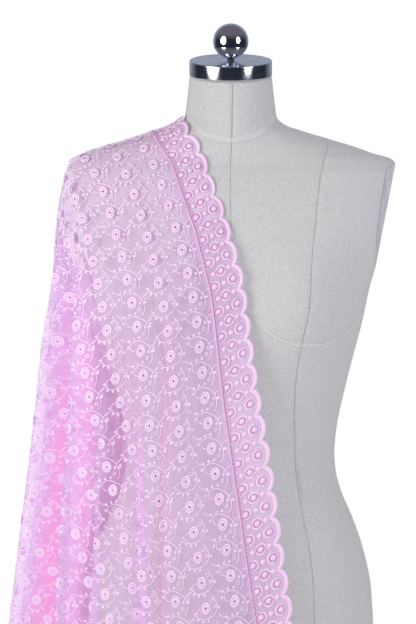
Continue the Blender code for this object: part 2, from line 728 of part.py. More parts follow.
def make_stand(chrome, painted, collection):
    """Round base with a boss, and the pole that stands on it."""
    turned("base", BASE_PROFILE, painted, collection, steps=48)
    low = BASE_PROFILE[0][1] + SEAM_GAP
    high = PLATE_BOTTOM - SEAM_GAP
    turned("pole", [(0.0, high), (POLE_RADIUS, high), (POLE_RADIUS, low), (0.0, low)],
           chrome, collection, steps=24)


def make_bottom_plate(painted, collection):
    """Flat board under the torso, on the same outline, a little smaller."""
    angle = np.linspace(0, 2 * math.pi, AROUND, endpoint=False)
    width, front, back, power = FORM_SECTIONS[0, 1:]
    cos, sin = np.cos(angle), np.sin(angle)
    x = PLATE_SCALE * width * np.sign(cos) * np.abs(cos) ** (2 / power)
    y = PLATE_SCALE * np.where(sin < 0, front, back) * np.sign(sin) * np.abs(sin) ** (2 / power)
    low = np.stack([x, y, np.full(AROUND, PLATE_BOTTOM)], axis=1)
    high = low + (0.0, 0.0, TORSO_BOTTOM - SEAM_GAP - PLATE_BOTTOM)
    index = np.arange(AROUND)
    after = np.roll(index, -1)
    faces = np.stack([index, after, after + AROUND, index + AROUND], axis=1).tolist()
    faces.append(index[::-1].tolist())
    faces.append((index + AROUND).tolist())
    mesh = bpy.data.meshes.new("bottom_plate")
    mesh.from_pydata(np.concatenate([low, high]).tolist(), [], faces)
    return add_object("bottom_plate", mesh, painted, collection)


def make_cap(chrome, painted, collection):
    """Metal neck cap, tipped forward with the neck, and the ball on top of it."""
    axis = bpy.data.objects.new("cap_axis", None)
    axis.location = (0.0, 0.0, CAP_TOP)
    axis.rotation_euler = (CAP_TILT, 0.0, 0.0)
    collection.objects.link(axis)
    inner = CAP_RADIUS - CAP_EDGE
    cap = turned("neck_cap", [(0.0, 0.0), (inner, 0.0), (CAP_RADIUS, -CAP_EDGE),
                              (CAP_RADIUS, CAP_EDGE - CAP_HEIGHT), (inner, -CAP_HEIGHT),
                              (0.0, -CAP_HEIGHT)], chrome, collection, steps=40)
    stem_low = SEAM_GAP
    stem_high = SEAM_GAP + STEM_HEIGHT
    stem = turned("finial_stem", [(0.0, stem_high), (STEM_RADIUS, stem_high),
                                  (STEM_RADIUS, stem_low), (0.0, stem_low)],
                  painted, collection, steps=16)
    mesh = bpy.data.meshes.new("finial_ball")
    work = bmesh.new()
    bmesh.ops.create_uvsphere(work, u_segments=28, v_segments=16, radius=BALL_RADIUS)
    work.to_mesh(mesh)
    work.free()
    mesh.shade_smooth()
    ball = add_object("finial_ball", mesh, chrome, collection)
    ball.location = (0.0, 0.0, stem_high + SEAM_GAP + BALL_RADIUS)
    for piece in (cap, stem, ball):
        piece.parent = axis


def main():
    for item in list(bpy.data.objects):
        bpy.data.objects.remove(item, do_unlink=True)
    collection = bpy.data.collections.new("dupatta_stole_on_dress_form")
    bpy.context.scene.collection.children.link(collection)
    cloth = make_material("embroidered_georgette", (0.86, 0.56, 0.74), 0.75)
    linen = make_material("linen_cover", (0.62, 0.60, 0.57), 0.9)
    chrome = make_material("polished_steel", (0.75, 0.76, 0.78), 0.12, 1.0)
    painted = make_material("dark_painted_metal", (0.05, 0.05, 0.055), 0.45)
    make_cloth(cloth, collection)
    make_torso(linen, collection)
    make_bottom_plate(painted, collection)
    make_stand(chrome, painted, collection)
    make_cap(chrome, painted, collection)


main()
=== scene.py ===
"""Looks of a dupatta stole draped over a dress form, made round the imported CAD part.

Metres, +Z up. The form faces -Y and the stole lies over the shoulder on the -X side.
"""

import math

import bpy
import numpy as np
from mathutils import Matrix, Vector


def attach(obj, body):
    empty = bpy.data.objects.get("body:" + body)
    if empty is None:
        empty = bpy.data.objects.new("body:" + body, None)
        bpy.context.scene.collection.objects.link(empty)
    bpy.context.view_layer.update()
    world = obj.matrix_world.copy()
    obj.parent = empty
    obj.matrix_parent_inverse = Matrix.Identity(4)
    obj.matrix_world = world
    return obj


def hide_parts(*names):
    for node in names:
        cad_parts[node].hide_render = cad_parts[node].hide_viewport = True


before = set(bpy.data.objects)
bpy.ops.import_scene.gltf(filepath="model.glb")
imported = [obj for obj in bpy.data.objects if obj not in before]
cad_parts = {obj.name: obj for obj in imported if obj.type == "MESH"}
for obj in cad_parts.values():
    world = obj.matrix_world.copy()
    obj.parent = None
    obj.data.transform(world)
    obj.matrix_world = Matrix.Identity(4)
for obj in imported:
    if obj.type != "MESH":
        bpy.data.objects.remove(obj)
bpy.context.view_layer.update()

# ------------------------------------------------------------------------------- studio
# A pale floor, white paper all round, and large soft lamps: a key lamp in front on the
# left, a weaker one on the right and one behind.
VIEW_HEIGHT = 0.7488          # what the picture spans at the dress form
VIEW_CENTRE = (-0.0276, -0.045, 1.2002)
VIEW_DISTANCE = 2.55
VIEW_PITCH = math.radians(3.0)
SENSOR = 36.0


class Socket:
    """An output in a node tree, or the tree's start. + - * on it add Math nodes."""

    def __init__(self, tree, output=None):
        self.tree = tree
        self.output = output

    def node(self, kind, settings=None, inputs=None, output=0):
        """Adds a node of a type, with its settings first and then its sockets."""
        made = self.tree.nodes.new(kind)
        for key, value in (settings or {}).items():
            setattr(made, key, value)
        for key, value in (inputs or {}).items():
            if isinstance(value, Socket):
                self.tree.links.new(value.output, made.inputs[key])
            else:
                made.inputs[key].default_value = value
        return Socket(self.tree, made.outputs[output])

    def _math(self, operation, first, second):
        return self.node("ShaderNodeMath", {"operation": operation}, {0: first, 1: second})

    def __add__(self, other):
        return self._math("ADD", self, other)

    __radd__ = __add__

    def __sub__(self, other):
        return self._math("SUBTRACT", self, other)

    def __rsub__(self, other):
        return self._math("SUBTRACT", other, self)

    def __mul__(self, other):
        return self._math("MULTIPLY", self, other)

    __rmul__ = __mul__

    def part(self, axis):
        """One of a vector's three values."""
        return self.node("ShaderNodeSeparateXYZ", inputs={0: self}, output=axis)

    def clamped(self, low, high):
        """0 below low, 1 above high and straight between."""
        return self.node("ShaderNodeMapRange", {"clamp": True},
                         {"Value": self, "From Min": low, "From Max": high})

    def mix(self, first, second):
        """First colour where this value is 0, second where it is 1."""
        return self.node("ShaderNodeMix", {"data_type": "RGBA"},
                         {0: self, 6: first, 7: second}, output=2)


bpy.context.scene.view_settings.view_transform = "Standard"
world = bpy.data.worlds.new("studio")
bpy.context.scene.world = world
world.use_nodes = True
sky = Socket(world.node_tree)
direction = sky.node("ShaderNodeTexCoord")
upward = direction.part(2)
walls = upward.clamped(0.10, 0.60).mix((0.020, 0.022, 0.034, 1), (0.15, 0.13, 0.155, 1))
back_wall = upward.clamped(-0.3, 0.1).mix((0.035, 0.035, 0.045, 1), (0.31, 0.35, 0.43, 1))
in_gloss = direction.part(1).clamped(0.35, 0.85).mix(walls, back_wall)
glossy = sky.node("ShaderNodeLightPath", output=3)
light_of_room = glossy.mix((0.37, 0.37, 0.385, 1.0), in_gloss)
seen = sky.node("ShaderNodeLightPath")
paper = seen.mix(light_of_room, (1.0, 1.0, 1.0, 1.0))
world.node_tree.links.new(paper.output, world.node_tree.nodes["Background"].inputs["Color"])


def soft_lamp(name, place, aim, size, power, color):
    """An oval soft box that points from a place at an aim."""
    data = bpy.data.lights.new(name, "AREA")
    data.shape = "ELLIPSE"
    data.size, data.size_y = size
    data.energy = power
    data.color = color
    lamp = bpy.data.objects.new(name, data)
    lamp.location = place
    lamp.rotation_euler = (Vector(aim) - Vector(place)).to_track_quat("-Z", "Y").to_euler()
    bpy.context.scene.collection.objects.link(lamp)
    return lamp


soft_lamp("key_lamp", (-1.52, -1.22, 1.52), (0.0, 0.0, 1.30), (1.35, 1.75), 28.0, (1.0, 0.99, 0.97))
soft_lamp("fill_lamp", (1.62, -1.42, 1.60), (0.0, 0.0, 1.25), (1.0, 1.5), 21.5, (0.93, 0.95, 1.0))
back_lamp = soft_lamp("back_lamp", (0.3, 2.4, 2.1), (0.0, 0.0, 1.0), (1.6, 1.2), 19.0, (1.0, 1.0, 1.0))
back_lamp.visible_glossy = False

FLOOR_HALF = 2.3
floor_mesh = bpy.data.meshes.new("floor")
floor_mesh.from_pydata([(-FLOOR_HALF, -FLOOR_HALF, 0), (FLOOR_HALF, -FLOOR_HALF, 0),
                        (FLOOR_HALF, FLOOR_HALF, 0), (-FLOOR_HALF, FLOOR_HALF, 0)],
                       [], [(0, 1, 2, 3)])
floor = bpy.data.objects.new("floor", floor_mesh)
floor.visible_glossy = False
bpy.context.scene.collection.objects.link(floor)


def principled(name, **constants):
    """A material, its shader with constants on its own sockets, and its tree's start."""
    material = bpy.data.materials.new(name)
    material.use_nodes = True
    shader = material.node_tree.nodes["Principled BSDF"]
    for key, value in constants.items():
        shader.inputs[key.replace("_", " ")].default_value = value
    return material, shader, Socket(material.node_tree)


def feed(shader, **links):
    """Links varying values to the shader's sockets."""
    for key, value in links.items():
        value.tree.links.new(value.output, shader.inputs[key.replace("_", " ")])


def plain(name, color, roughness):
    """A material of one colour, for what is too small to show more."""
    return principled(name, Base_Color=color, Roughness=roughness)[0]


floor_mesh.materials.append(plain("floor_paper", (0.90, 0.90, 0.90, 1), 0.8))

camera_data = bpy.data.cameras.new("camera")
camera_data.sensor_width = SENSOR
camera_data.lens = SENSOR * VIEW_DISTANCE / VIEW_HEIGHT
camera = bpy.data.objects.new("camera", camera_data)
bpy.context.scene.collection.objects.link(camera)
centre = Vector(VIEW_CENTRE)
camera.location = centre + VIEW_DISTANCE * Vector((0, -math.cos(VIEW_PITCH), math.sin(VIEW_PITCH)))
camera.rotation_euler = (centre - camera.location).to_track_quat("-Z", "Y").to_euler()
bpy.context.scene.camera = camera


# -------------------------------------------------------------------------------- stand
# A round weighted steel base and the flat board under the form are painted dark. The
# tubular pole between them is polished steel.
def place_on(nodes):
    """Object coordinates, in metres."""
    return nodes.node("ShaderNodeTexCoord", output=3)


def noise_at(place, scale, stretch, detail, roughness=0.6):
    """Noise on coordinates that are multiplied by stretch first, an axis at a time."""
    stretched = place.node("ShaderNodeMapping", inputs={"Vector": place, "Scale": stretch})
    return place.node("ShaderNodeTexNoise", inputs={"Vector": stretched, "Scale": scale,
                                                    "Detail": detail, "Roughness": roughness})


def bump_over(height, distance, strength):
    """A Bump node that reads a height."""
    return height.node("ShaderNodeBump", inputs={"Height": height, "Distance": distance,
                                                 "Strength": strength})


EVEN = (1.0, 1.0, 1.0)        # noise that isn't stretched
painted, painted_shader, painted_nodes = principled(
    "dark_painted_metal", Base_Color=(0.045, 0.045, 0.05, 1))
paint_grain = noise_at(place_on(painted_nodes), 900.0, EVEN, 4.0, 0.5)
feed(painted_shader, Normal=bump_over(paint_grain, 0.0002, 0.3), Roughness=paint_grain * 0.2 + 0.34)

steel, steel_shader, steel_nodes = principled(
    "polished_steel", Base_Color=(0.74, 0.74, 0.75, 1), Metallic=1.0)
smudge = noise_at(place_on(steel_nodes), 60.0, EVEN, 4.0, 0.5)
feed(steel_shader, Roughness=smudge * 0.06 + 0.05)

for node_name, material in (("base", painted), ("bottom_plate", painted), ("pole", steel),
                            ("finial_stem", painted)):
    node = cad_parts[node_name]
    node.data.materials.clear()
    node.data.materials.append(material)


# --------------------------------------------------------------------- neck cap and ball
# A spun steel cap closes the neck and tips forward with it. A mirror-polished ball is
# screwed to its middle on a short dark stem.
CAP_RADIUS = 0.0502
CAP_HEIGHT = 0.0182
CAP_TILT = math.radians(13.0)
CAP_TOP = 1.5040
CAP_EDGE = 0.0016
BALL_RADIUS = 0.0214
BALL_HEIGHT = 0.0230          # the ball's centre above the cap
CAP_TOP_RING = 0.030          # rings that hold the cap's flat faces flat
CAP_UNDER_RING = 0.020
POLE_RADIUS = 1e-5            # left open at a pole, so that its faces keep an area
CAP_STEPS = 96
BALL_ROWS = 41
BALL_STEPS = 72


def put_mesh(name, points, quads, material, uv=None):
    """A smooth mesh object from an array of points and one of four-sided faces.

    uv holds a place on the flat cloth for each point.
    """
    points = np.ascontiguousarray(points, dtype=np.float32).reshape(-1, 3)
    quads = np.ascontiguousarray(quads, dtype=np.int32).reshape(-1, 4)
    mesh = bpy.data.meshes.new(name)
    mesh.vertices.add(len(points))
    mesh.vertices.foreach_set("co", points.ravel())
    mesh.loops.add(quads.size)
    mesh.loops.foreach_set("vertex_index", quads.ravel())
    mesh.polygons.add(len(quads))
    mesh.polygons.foreach_set("loop_start", np.arange(len(quads), dtype=np.int32) * 4)
    if uv is not None:
        layer = mesh.uv_layers.new(name="cloth")
        layer.data.foreach_set("uv", uv.reshape(-1, 2)[quads.ravel()].astype(np.float32).ravel())
    mesh.update(calc_edges=True)
    mesh.shade_smooth()
    mesh.materials.append(material)
    item = bpy.data.objects.new(name, mesh)
    bpy.context.scene.collection.objects.link(item)
    return item


def grid_quads(rows, columns, wrap=False):
    """Faces of a grid of points, row after row; wrap joins the last column to the first."""
    index = np.arange(rows * columns).reshape(rows, columns)
    after = np.roll(index, -1, axis=1)
    last = columns if wrap else columns - 1
    faces = [index[:-1, :last], after[:-1, :last], after[1:, :last], index[1:, :last]]
    return np.stack([face.ravel() for face in faces], axis=1)


def turned_shape(profile, steps):
    """A profile of (radius, height) points carried round Z: x = r cos a, y = r sin a."""
    angle = np.linspace(0, 2 * math.pi, steps, endpoint=False)
    radius, height = np.asarray(profile, dtype=float).T
    return np.stack([radius[:, None] * np.cos(angle), radius[:, None] * np.sin(angle),
                     np.broadcast_to(height[:, None], (len(radius), steps))], axis=-1)


def on_neck(points):
    """Tips points about X with the neck and lifts them to the cap's top."""
    x, y, z = points[..., 0], points[..., 1], points[..., 2]
    cos, sin = math.cos(CAP_TILT), math.sin(CAP_TILT)
    return np.stack([x, y * cos - z * sin, y * sin + z * cos + CAP_TOP], axis=-1)


bend = np.linspace(0, math.pi / 2, 6)
from_side = CAP_EDGE * (1 - np.sin(bend))
from_top = CAP_EDGE * (1 - np.cos(bend))
cap_profile = np.concatenate([
    [(POLE_RADIUS, 0.0), (CAP_TOP_RING, 0.0)],
    np.column_stack([CAP_RADIUS - from_side, -from_top]),
    [(CAP_RADIUS, -CAP_HEIGHT * 0.5)],
    np.column_stack([CAP_RADIUS - from_top, from_side - CAP_HEIGHT]),
    [(CAP_UNDER_RING, -CAP_HEIGHT), (POLE_RADIUS, -CAP_HEIGHT)]])
brushed, brushed_shader, brushed_nodes = principled(
    "brushed_steel", Metallic=1.0, Anisotropic=0.85, Anisotropic_Rotation=0.25)
brushed_place = place_on(brushed_nodes)
ring_noise = noise_at(brushed_place, 500.0, (0.06, 0.06, 1.0), 4.0, 0.5)
streaks = noise_at(brushed_place, 1.0, (150.0, 60.0, 3.0), 3.0, 0.5)
steel_color = streaks.clamped(0.3, 0.7).mix((0.72, 0.75, 0.84, 1), (0.95, 0.98, 1.0, 1))
feed(brushed_shader, Base_Color=steel_color, Roughness=ring_noise * 0.08 + 0.12,
     Normal=bump_over(ring_noise, 0.00006, 0.25))
cap = put_mesh("neck_cap_turned", on_neck(turned_shape(cap_profile, CAP_STEPS)),
               grid_quads(len(cap_profile), CAP_STEPS, wrap=True)[:, ::-1], brushed)
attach(cap, "root")
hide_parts("neck_cap")

latitude = np.linspace(math.pi / 2, -math.pi / 2, BALL_ROWS)
ball_profile = np.stack([np.maximum(BALL_RADIUS * np.cos(latitude), POLE_RADIUS),
                         BALL_RADIUS * np.sin(latitude) + BALL_HEIGHT], axis=1)
mirror, _, _ = principled("mirror_steel", Base_Color=(0.80, 0.85, 0.95, 1), Metallic=1.0,
                          Roughness=0.03)
ball = put_mesh("finial_ball_turned", on_neck(turned_shape(ball_profile, BALL_STEPS)),
                grid_quads(BALL_ROWS, BALL_STEPS, wrap=True)[:, ::-1], mirror)
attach(ball, "root")
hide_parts("finial_ball")

# --------------------------------------------------------------------------- dress form
# A moulded body padded and covered in shaped panels of natural linen, stitched with the
# seams turned in. Flat covered plates close it where arms would start.
FORM_SECTIONS = np.array([
    # z,     width,  front,  back,   square
    (0.755, 0.1710, 0.0980, 0.1130, 2.20),
    (0.800, 0.1755, 0.1030, 0.1210, 2.20),
    (0.860, 0.1724, 0.1050, 0.1270, 2.20),
    (0.907, 0.1628, 0.1040, 0.1220, 2.20),
    (0.946, 0.1496, 0.1000, 0.1100, 2.15),
    (0.979, 0.1355, 0.0940, 0.0960, 2.10),
    (1.004, 0.1289, 0.0890, 0.0850, 2.05),
    (1.026, 0.1270, 0.0850, 0.0780, 2.05),
    (1.055, 0.1295, 0.0830, 0.0740, 2.10),
    (1.116, 0.1422, 0.0850, 0.0800, 2.20),
    (1.188, 0.1603, 0.0900, 0.0920, 2.25),
    (1.231, 0.1697, 0.0930, 0.0980, 2.30),
    (1.264, 0.1808, 0.0920, 0.1020, 2.40),
    (1.302, 0.1980, 0.0870, 0.1030, 2.45),
    (1.340, 0.2035, 0.0770, 0.0975, 2.40),
    (1.366, 0.2000, 0.0670, 0.0885, 2.20),
    (1.378, 0.1930, 0.0610, 0.0815, 2.00),
    (1.3865, 0.1820, 0.0590, 0.0775, 1.80),
    (1.3965, 0.1585, 0.0580, 0.0750, 1.65),
    (1.4095, 0.1165, 0.0570, 0.0710, 1.55),
    (1.4180, 0.0880, 0.0565, 0.0680, 1.60),
    (1.4262, 0.0650, 0.0555, 0.0650, 1.75),
    (1.435, 0.0560, 0.0550, 0.0610, 1.90),
    (1.452, 0.0535, 0.0530, 0.0560, 2.00),
    (1.4848, 0.0498, 0.0500, 0.0500, 2.00),
])
ARM_PLATE_LOW = (1.231, 0.1662)      # height and half width of the flat arm plates
ARM_PLATE_HIGH = (1.377, 0.1938)
PLATE_PROUD = 0.0050          # the free plate stands this far out beyond the covered one
PLATE_TURN = -0.012           # forward of this depth the plates turn towards the front
PLATE_TURNS = np.array([
    # z,     slope
    (1.245, 0.100), (1.269, 0.170), (1.283, 0.210), (1.312, 0.270), (1.341, 0.350),
    (1.360, 0.440), (1.378, 0.600), (1.390, 0.660)])
CORNER_ROUND = 0.0040         # taken off the plates' top corner between two heights
CORNER_ROUNDED = (1.374, 1.388)
CORNER_RISE = 0.0098          # the free shoulder is squarer than the covered one
CORNER_LOW = (1.3400, 1.3720)
CORNER_HIGH = (1.3845, 1.3925)
BUST_X = 0.091
BUST_Z = 1.208
BUST_RISE = 0.021
BUST_SPREAD_X = 0.044
BUST_SPREAD_Z = 0.046
NECK_LEAN_START = 1.435
SEAM_DEPTH = 0.0007
SEAM_WIDTH = 0.0030
SEAM_POINTS = 160
RING_BANDS = ((0.755, 1.36, 170), (1.36, 1.40, 36), (1.40, 1.4848, 50))   # low, high, rings
FORM_COLUMNS = 300
BOTTOM_RINGS = (0.98, 0.5, 0.03)     # how far in the rings of the closed underside lie
TOP_RING = 0.9


def smooth_curve(knots, values, at):
    """Cubic Hermite curve through (knots, values); slopes are limited to stay monotone."""
    step = np.diff(knots)
    slope = np.diff(values) / step
    left, right = slope[:-1], slope[1:]
    same = left * right > 0
    tangent = np.empty_like(values)
    tangent[0], tangent[-1] = slope[0], slope[-1]
    tangent[1:-1] = np.where(same, 2 * left * right / np.where(same, left + right, 1.0), 0.0)
    at = np.clip(at, knots[0], knots[-1])
    index = np.clip(np.searchsorted(knots, at) - 1, 0, len(step) - 1)
    h = step[index]
    t = (at - knots[index]) / h
    a = (1 + 2 * t) * (1 - t) ** 2 * values[index] + t * (1 - t) ** 2 * h * tangent[index]
    b = t * t * (3 - 2 * t) * values[index + 1] + t * t * (t - 1) * h * tangent[index + 1]
    return a + b


def smooth_step(low, high, value):
    """0 below low, 1 above high, 3t^2 - 2t^3 between."""
    t = np.clip((value - low) / (high - low), 0.0, 1.0)
    return t * t * (3 - 2 * t)


def section_value(table, column, z):
    """A column's value at a height, smooth between the rows."""
    return smooth_curve(table[:, 0], table[:, column], z)


def arm_plate(z):
    """Half width of the form where the flat arm plates cut it; below them it is free."""
    slope = (ARM_PLATE_HIGH[1] - ARM_PLATE_LOW[1]) / (ARM_PLATE_HIGH[0] - ARM_PLATE_LOW[0])
    return np.where(z < ARM_PLATE_LOW[0], 1.0, ARM_PLATE_LOW[1] + slope * (z - ARM_PLATE_LOW[0]))


def form_width(x_sign, z):
    """Half width of the form, with the square corner of the free shoulder."""
    corner = smooth_step(*CORNER_LOW, z) * (1 - smooth_step(*CORNER_HIGH, z))
    return section_value(FORM_SECTIONS, 1, z) + CORNER_RISE * corner * (x_sign > 0)


def plate_limit(x_sign, y, z):
    """Half width at which the turned arm plate cuts the form, at a depth and height."""
    turn = smooth_curve(PLATE_TURNS[:, 0], PLATE_TURNS[:, 1], z)
    rounded = PLATE_PROUD * (x_sign > 0) - CORNER_ROUND * smooth_step(*CORNER_ROUNDED, z) ** 2
    return arm_plate(z) + rounded + turn * np.minimum(y - PLATE_TURN, 0.0)


def form_point(angle, z):
    """The form's surface at an angle about Z (0 is +X, -90 degrees the front) and height.

    A superellipse of that height's width, depth and squareness, with two soft bust
    bumps in front, cut flat at the arm plates. The neck's top leans with the cap.
    """
    front, back, power = (section_value(FORM_SECTIONS, k, z) for k in (2, 3, 4))
    cos, sin = np.cos(angle), np.sin(angle)
    x = form_width(cos, z) * np.sign(cos) * np.abs(cos) ** (2 / power)
    y = np.where(sin < 0, front, back) * np.sign(sin) * np.abs(sin) ** (2 / power)
    bump = np.exp(-((np.abs(x) - BUST_X) / BUST_SPREAD_X) ** 2 / 2)
    bump = bump * np.exp(-((z - BUST_Z) / BUST_SPREAD_Z) ** 2 / 2)
    y = y - BUST_RISE * bump * (sin < 0)
    limit = plate_limit(cos, y, z)
    lean = smooth_step(NECK_LEAN_START, FORM_SECTIONS[-1, 0], z) * math.tan(CAP_TILT)
    return np.stack([np.clip(x, -limit, limit), y, z + lean * y], axis=-1)


def unit(vectors):
    """Vectors made one long, each by its own length."""
    return vectors / np.maximum(np.linalg.norm(vectors, axis=-1, keepdims=True), 1e-15)


def form_normals(angle, z, turn=1e-3, rise=4e-4):
    """Unit normals of the form: the cross product of small steps in angle and height."""
    along = form_point(angle + turn, z) - form_point(angle - turn, z)
    over = form_point(angle, z + rise) - form_point(angle, z - rise)
    return unit(np.cross(along, over))


# Seams of the cover on one half, as (x, z) in front view; they are mirrored.
PRINCESS_SEAM = np.array([
    (0.1176, 1.4042), (0.1056, 1.3598), (0.0996, 1.3106), (0.0942, 1.2590), (0.0914, 1.2078),
    (0.0834, 1.1654), (0.0780, 1.1306), (0.0756, 1.0946), (0.0766, 1.0238), (0.0852, 0.9590),
    (0.0933, 0.9182), (0.0975, 0.8768), (0.0992, 0.8258), (0.0990, 0.7560)])
CUP_SEAM = np.array([
    (0.0192, 1.2032), (0.0310, 1.1884), (0.0480, 1.1745), (0.0631, 1.1671), (0.0823, 1.1618),
    (0.1026, 1.1620), (0.1241, 1.1682), (0.1380, 1.1756), (0.1488, 1.1882)])
CENTRE_SEAM = np.array([(0.0006, 1.4010), (-0.0012, 1.3730), (-0.0012, 1.2000), (0.0, 0.7560)])
NECK_SEAM = np.array([(0.0552, 1.4306), (0.0523, 1.4241), (0.0310, 1.4071), (0.0, 1.4011)])
BACK_SEAM = np.array([
    (0.1000, 1.4100), (0.0940, 1.3400), (0.0900, 1.2400), (0.0760, 1.1000), (0.0660, 1.0260),
    (0.0800, 0.9300), (0.0960, 0.8400), (0.0960, 0.7560)])
BACK_CENTRE = np.array([(0.0, 1.4350), (0.0, 1.2), (0.0, 0.7560)])
NECK_CENTRE = np.array([(0.0016, 1.4840), (0.0010, 1.4400), (0.0006, 1.4012)])
PENCIL_MARKS = [np.array([(0.0792, 1.0130), (0.0822, 0.9950), (0.0864, 0.9782)]),
                np.array([(0.0912, 1.2082), (0.0916, 1.2077), (0.0919, 1.2071)])]


def run_along(points):
    """Length along a row of points up to each of them."""
    return np.concatenate([[0.0], np.cumsum(np.linalg.norm(np.diff(points, axis=0), axis=1))])


def smooth_path(points, count):
    """A curve through given points, evenly spaced: smooth in its own length."""
    run = run_along(points)
    at = np.linspace(0, run[-1], count)
    return np.stack([smooth_curve(run, column.astype(float), at) for column in points.T], axis=1)


def on_form(line, back=False):
    """Places (angle, z) on the form for (x, z) points: the angle whose surface has that x."""
    x, z = line.T
    width, power = form_width(x, z), section_value(FORM_SECTIONS, 4, z)
    cos = np.sign(x) * np.clip(np.abs(x) / width, 0, 1) ** (power / 2)
    angle = np.arccos(np.clip(cos, -0.9999, 0.9999))
    return np.stack([angle if back else -angle, z], axis=1)


seam_paths = {"line": [], "seam_highlight": [], "band": []}
for seam, back, kind, halves in (
        (PRINCESS_SEAM, False, "line", (1, -1)), (CENTRE_SEAM, False, "line", (1,)),
        (NECK_CENTRE, False, "line", (1,)), (CUP_SEAM, False, "seam_highlight", (1, -1)),
        (NECK_SEAM, False, "band", (1, -1)), (BACK_SEAM, True, "line", (1, -1)),
        (BACK_CENTRE, True, "line", (1,))):
    for half in halves:
        seam_paths[kind].append(on_form(smooth_path(seam, SEAM_POINTS) * (half, 1), back))

ring_z = np.unique(np.concatenate([np.linspace(*band) for band in RING_BANDS]))
ring_angle = np.linspace(0, 2 * math.pi, FORM_COLUMNS, endpoint=False)
angles, heights = np.meshgrid(ring_angle, ring_z)
form_grid = form_point(angles, heights)


def nearest_gap(points, line):
    """Distance from each point to the nearest of a line: sqrt(p.p + q.q - 2 p.q)."""
    squares = (points ** 2).sum(axis=1)[:, None] + (line ** 2).sum(axis=1) - 2 * points @ line.T
    return np.sqrt(np.maximum(squares.min(axis=1), 0.0))


def toward_middle(ring, share):
    """A ring of points drawn in to its middle by a share."""
    return ring * (1 - share) + ring.mean(axis=0) * share


seam_lines = [form_point(*path.T) for paths in seam_paths.values() for path in paths]
seam_gap = np.min([nearest_gap(form_grid.reshape(-1, 3), line) for line in seam_lines], axis=0)
seam_sink = SEAM_DEPTH * np.exp(-(seam_gap.reshape(angles.shape) / SEAM_WIDTH) ** 2)
form_grid = form_grid - form_normals(angles, heights) * seam_sink[..., None]
form_rows = np.stack([toward_middle(form_grid[0], share) for share in BOTTOM_RINGS]
                     + [*form_grid, toward_middle(form_grid[-1], TOP_RING)])

linen, linen_shader, linen_nodes = principled("linen_cover", Roughness=0.92, Sheen_Weight=0.25,
                                              Sheen_Roughness=0.5)
linen_place = place_on(linen_nodes)
weft = noise_at(linen_place, 1.0, (420.0, 420.0, 1500.0), 3.0)
warp = noise_at(linen_place, 1.0, (1500.0, 1500.0, 420.0), 3.0)
slub = noise_at(linen_place, 1.0, (170.0, 170.0, 900.0), 1.0)
speckle = noise_at(linen_place, 620.0, EVEN, 2.0)
weave = weft * 0.5 + warp * 0.5
tone = (weave * 0.5 + speckle * 0.5).clamped(0.395, 0.625)
ground = tone.mix((0.487, 0.484, 0.482, 1), (0.648, 0.648, 0.658, 1))
flecks = slub.clamped(0.66, 0.76) * 0.35
feed(linen_shader, Base_Color=flecks.mix(ground, (0.34, 0.31, 0.29, 1)),
     Normal=bump_over(weave, 0.0005, 0.55))
form = put_mesh("dress_form_cover", form_rows, grid_quads(len(form_rows), FORM_COLUMNS, wrap=True),
                linen)
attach(form, "root")
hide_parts("torso")


def strip_on_form(path, half_width, lift):
    """A narrow strip along a path (angle, z), with three points across it.

    Each is the form's point plus the unit step to the side times half_width, plus the
    normal times its share of lift.
    """
    centre = form_point(*path.T)
    normal = form_normals(*path.T)
    side_step = unit(np.cross(normal, np.gradient(centre, axis=0)))
    rows = [centre + side_step * half_width * k + normal * lift * rise
            for k, rise in ((-1, 0.4), (0, 1.0), (1, 0.4))]
    return np.stack(rows, axis=1)


def joined_faces(grids):
    """Faces of several grids of points, numbered one grid after another."""
    starts = np.cumsum([0] + [grid.shape[0] * grid.shape[1] for grid in grids])
    return np.concatenate([grid_quads(*grid.shape[:2]) + start for grid, start in zip(grids, starts)])


def joined(name, grids, material):
    """One object from several grids of points."""
    points = np.concatenate([grid.reshape(-1, 3) for grid in grids])
    return put_mesh(name, points, joined_faces(grids), material)


def lay_strips(name, paths, color, half_width, lift, raise_by=0.0):
    """Strips of one plain colour along paths on the form, a little above them."""
    strips = [strip_on_form(path + (0.0, raise_by), half_width, lift) for path in paths]
    laid = joined(name, strips, plain(name, color, 0.95))
    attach(laid, "root")


lay_strips("dress_form_seams", seam_paths["line"], (0.50, 0.485, 0.465, 1), 0.00024,
           -SEAM_DEPTH * 0.7)
# The cup seams' strips are lighter than the linen: painted highlight of their raised ridges.
lay_strips("dress_form_turned_seam_highlights", seam_paths["seam_highlight"], (0.69, 0.69, 0.695, 1), 0.0009, 0.0002,
           0.0011)
# A plain strip a little lighter than the linen along the neck seam: painted highlight of the fold
# there.
lay_strips("dress_form_neck_fold_highlight", seam_paths["band"], (0.60, 0.60, 0.61, 1), 0.0031, 0.0003, 0.0037)
long_mark, dot_mark = (on_form(smooth_path(mark, 12)) for mark in PENCIL_MARKS)
lay_strips("pencil_long_mark", [long_mark], (0.40, 0.44, 0.62, 1), 0.0003, 0.0002)
lay_strips("pencil_dot", [dot_mark], (0.12, 0.13, 0.55, 1), 0.0006, 0.0002)

PLATE_Z = (1.252, 1.3797)     # the plates' covers, a little short of the plates
PLATE_ROWS = 60
PLATE_COLUMNS = 30
PLATE_SETTLING = 40           # steps that find where a turned plate meets the front
PLATE_PADDING = 0.0009        # a cover stands out by this, less what its edge is sunk
PLATE_SUNK = 0.0004
PLATE_EDGE = 0.05             # share of a cover's width over which it rises
COVERED_ROWS = 44             # the covered plate stops below the shoulder's corner
# a dark strip along the free plate's front edge: painted shadow where the plate meets the front
EDGE_SHADOW_SECTION = np.array([(-0.0007, 0.0, 0.0), (0.0, -0.0005, 0.0), (0.0006, 0.0, 0.0)])
plate_z = np.linspace(*PLATE_Z, PLATE_ROWS)
front, back, power = (section_value(FORM_SECTIONS, k, plate_z) for k in (2, 3, 4))


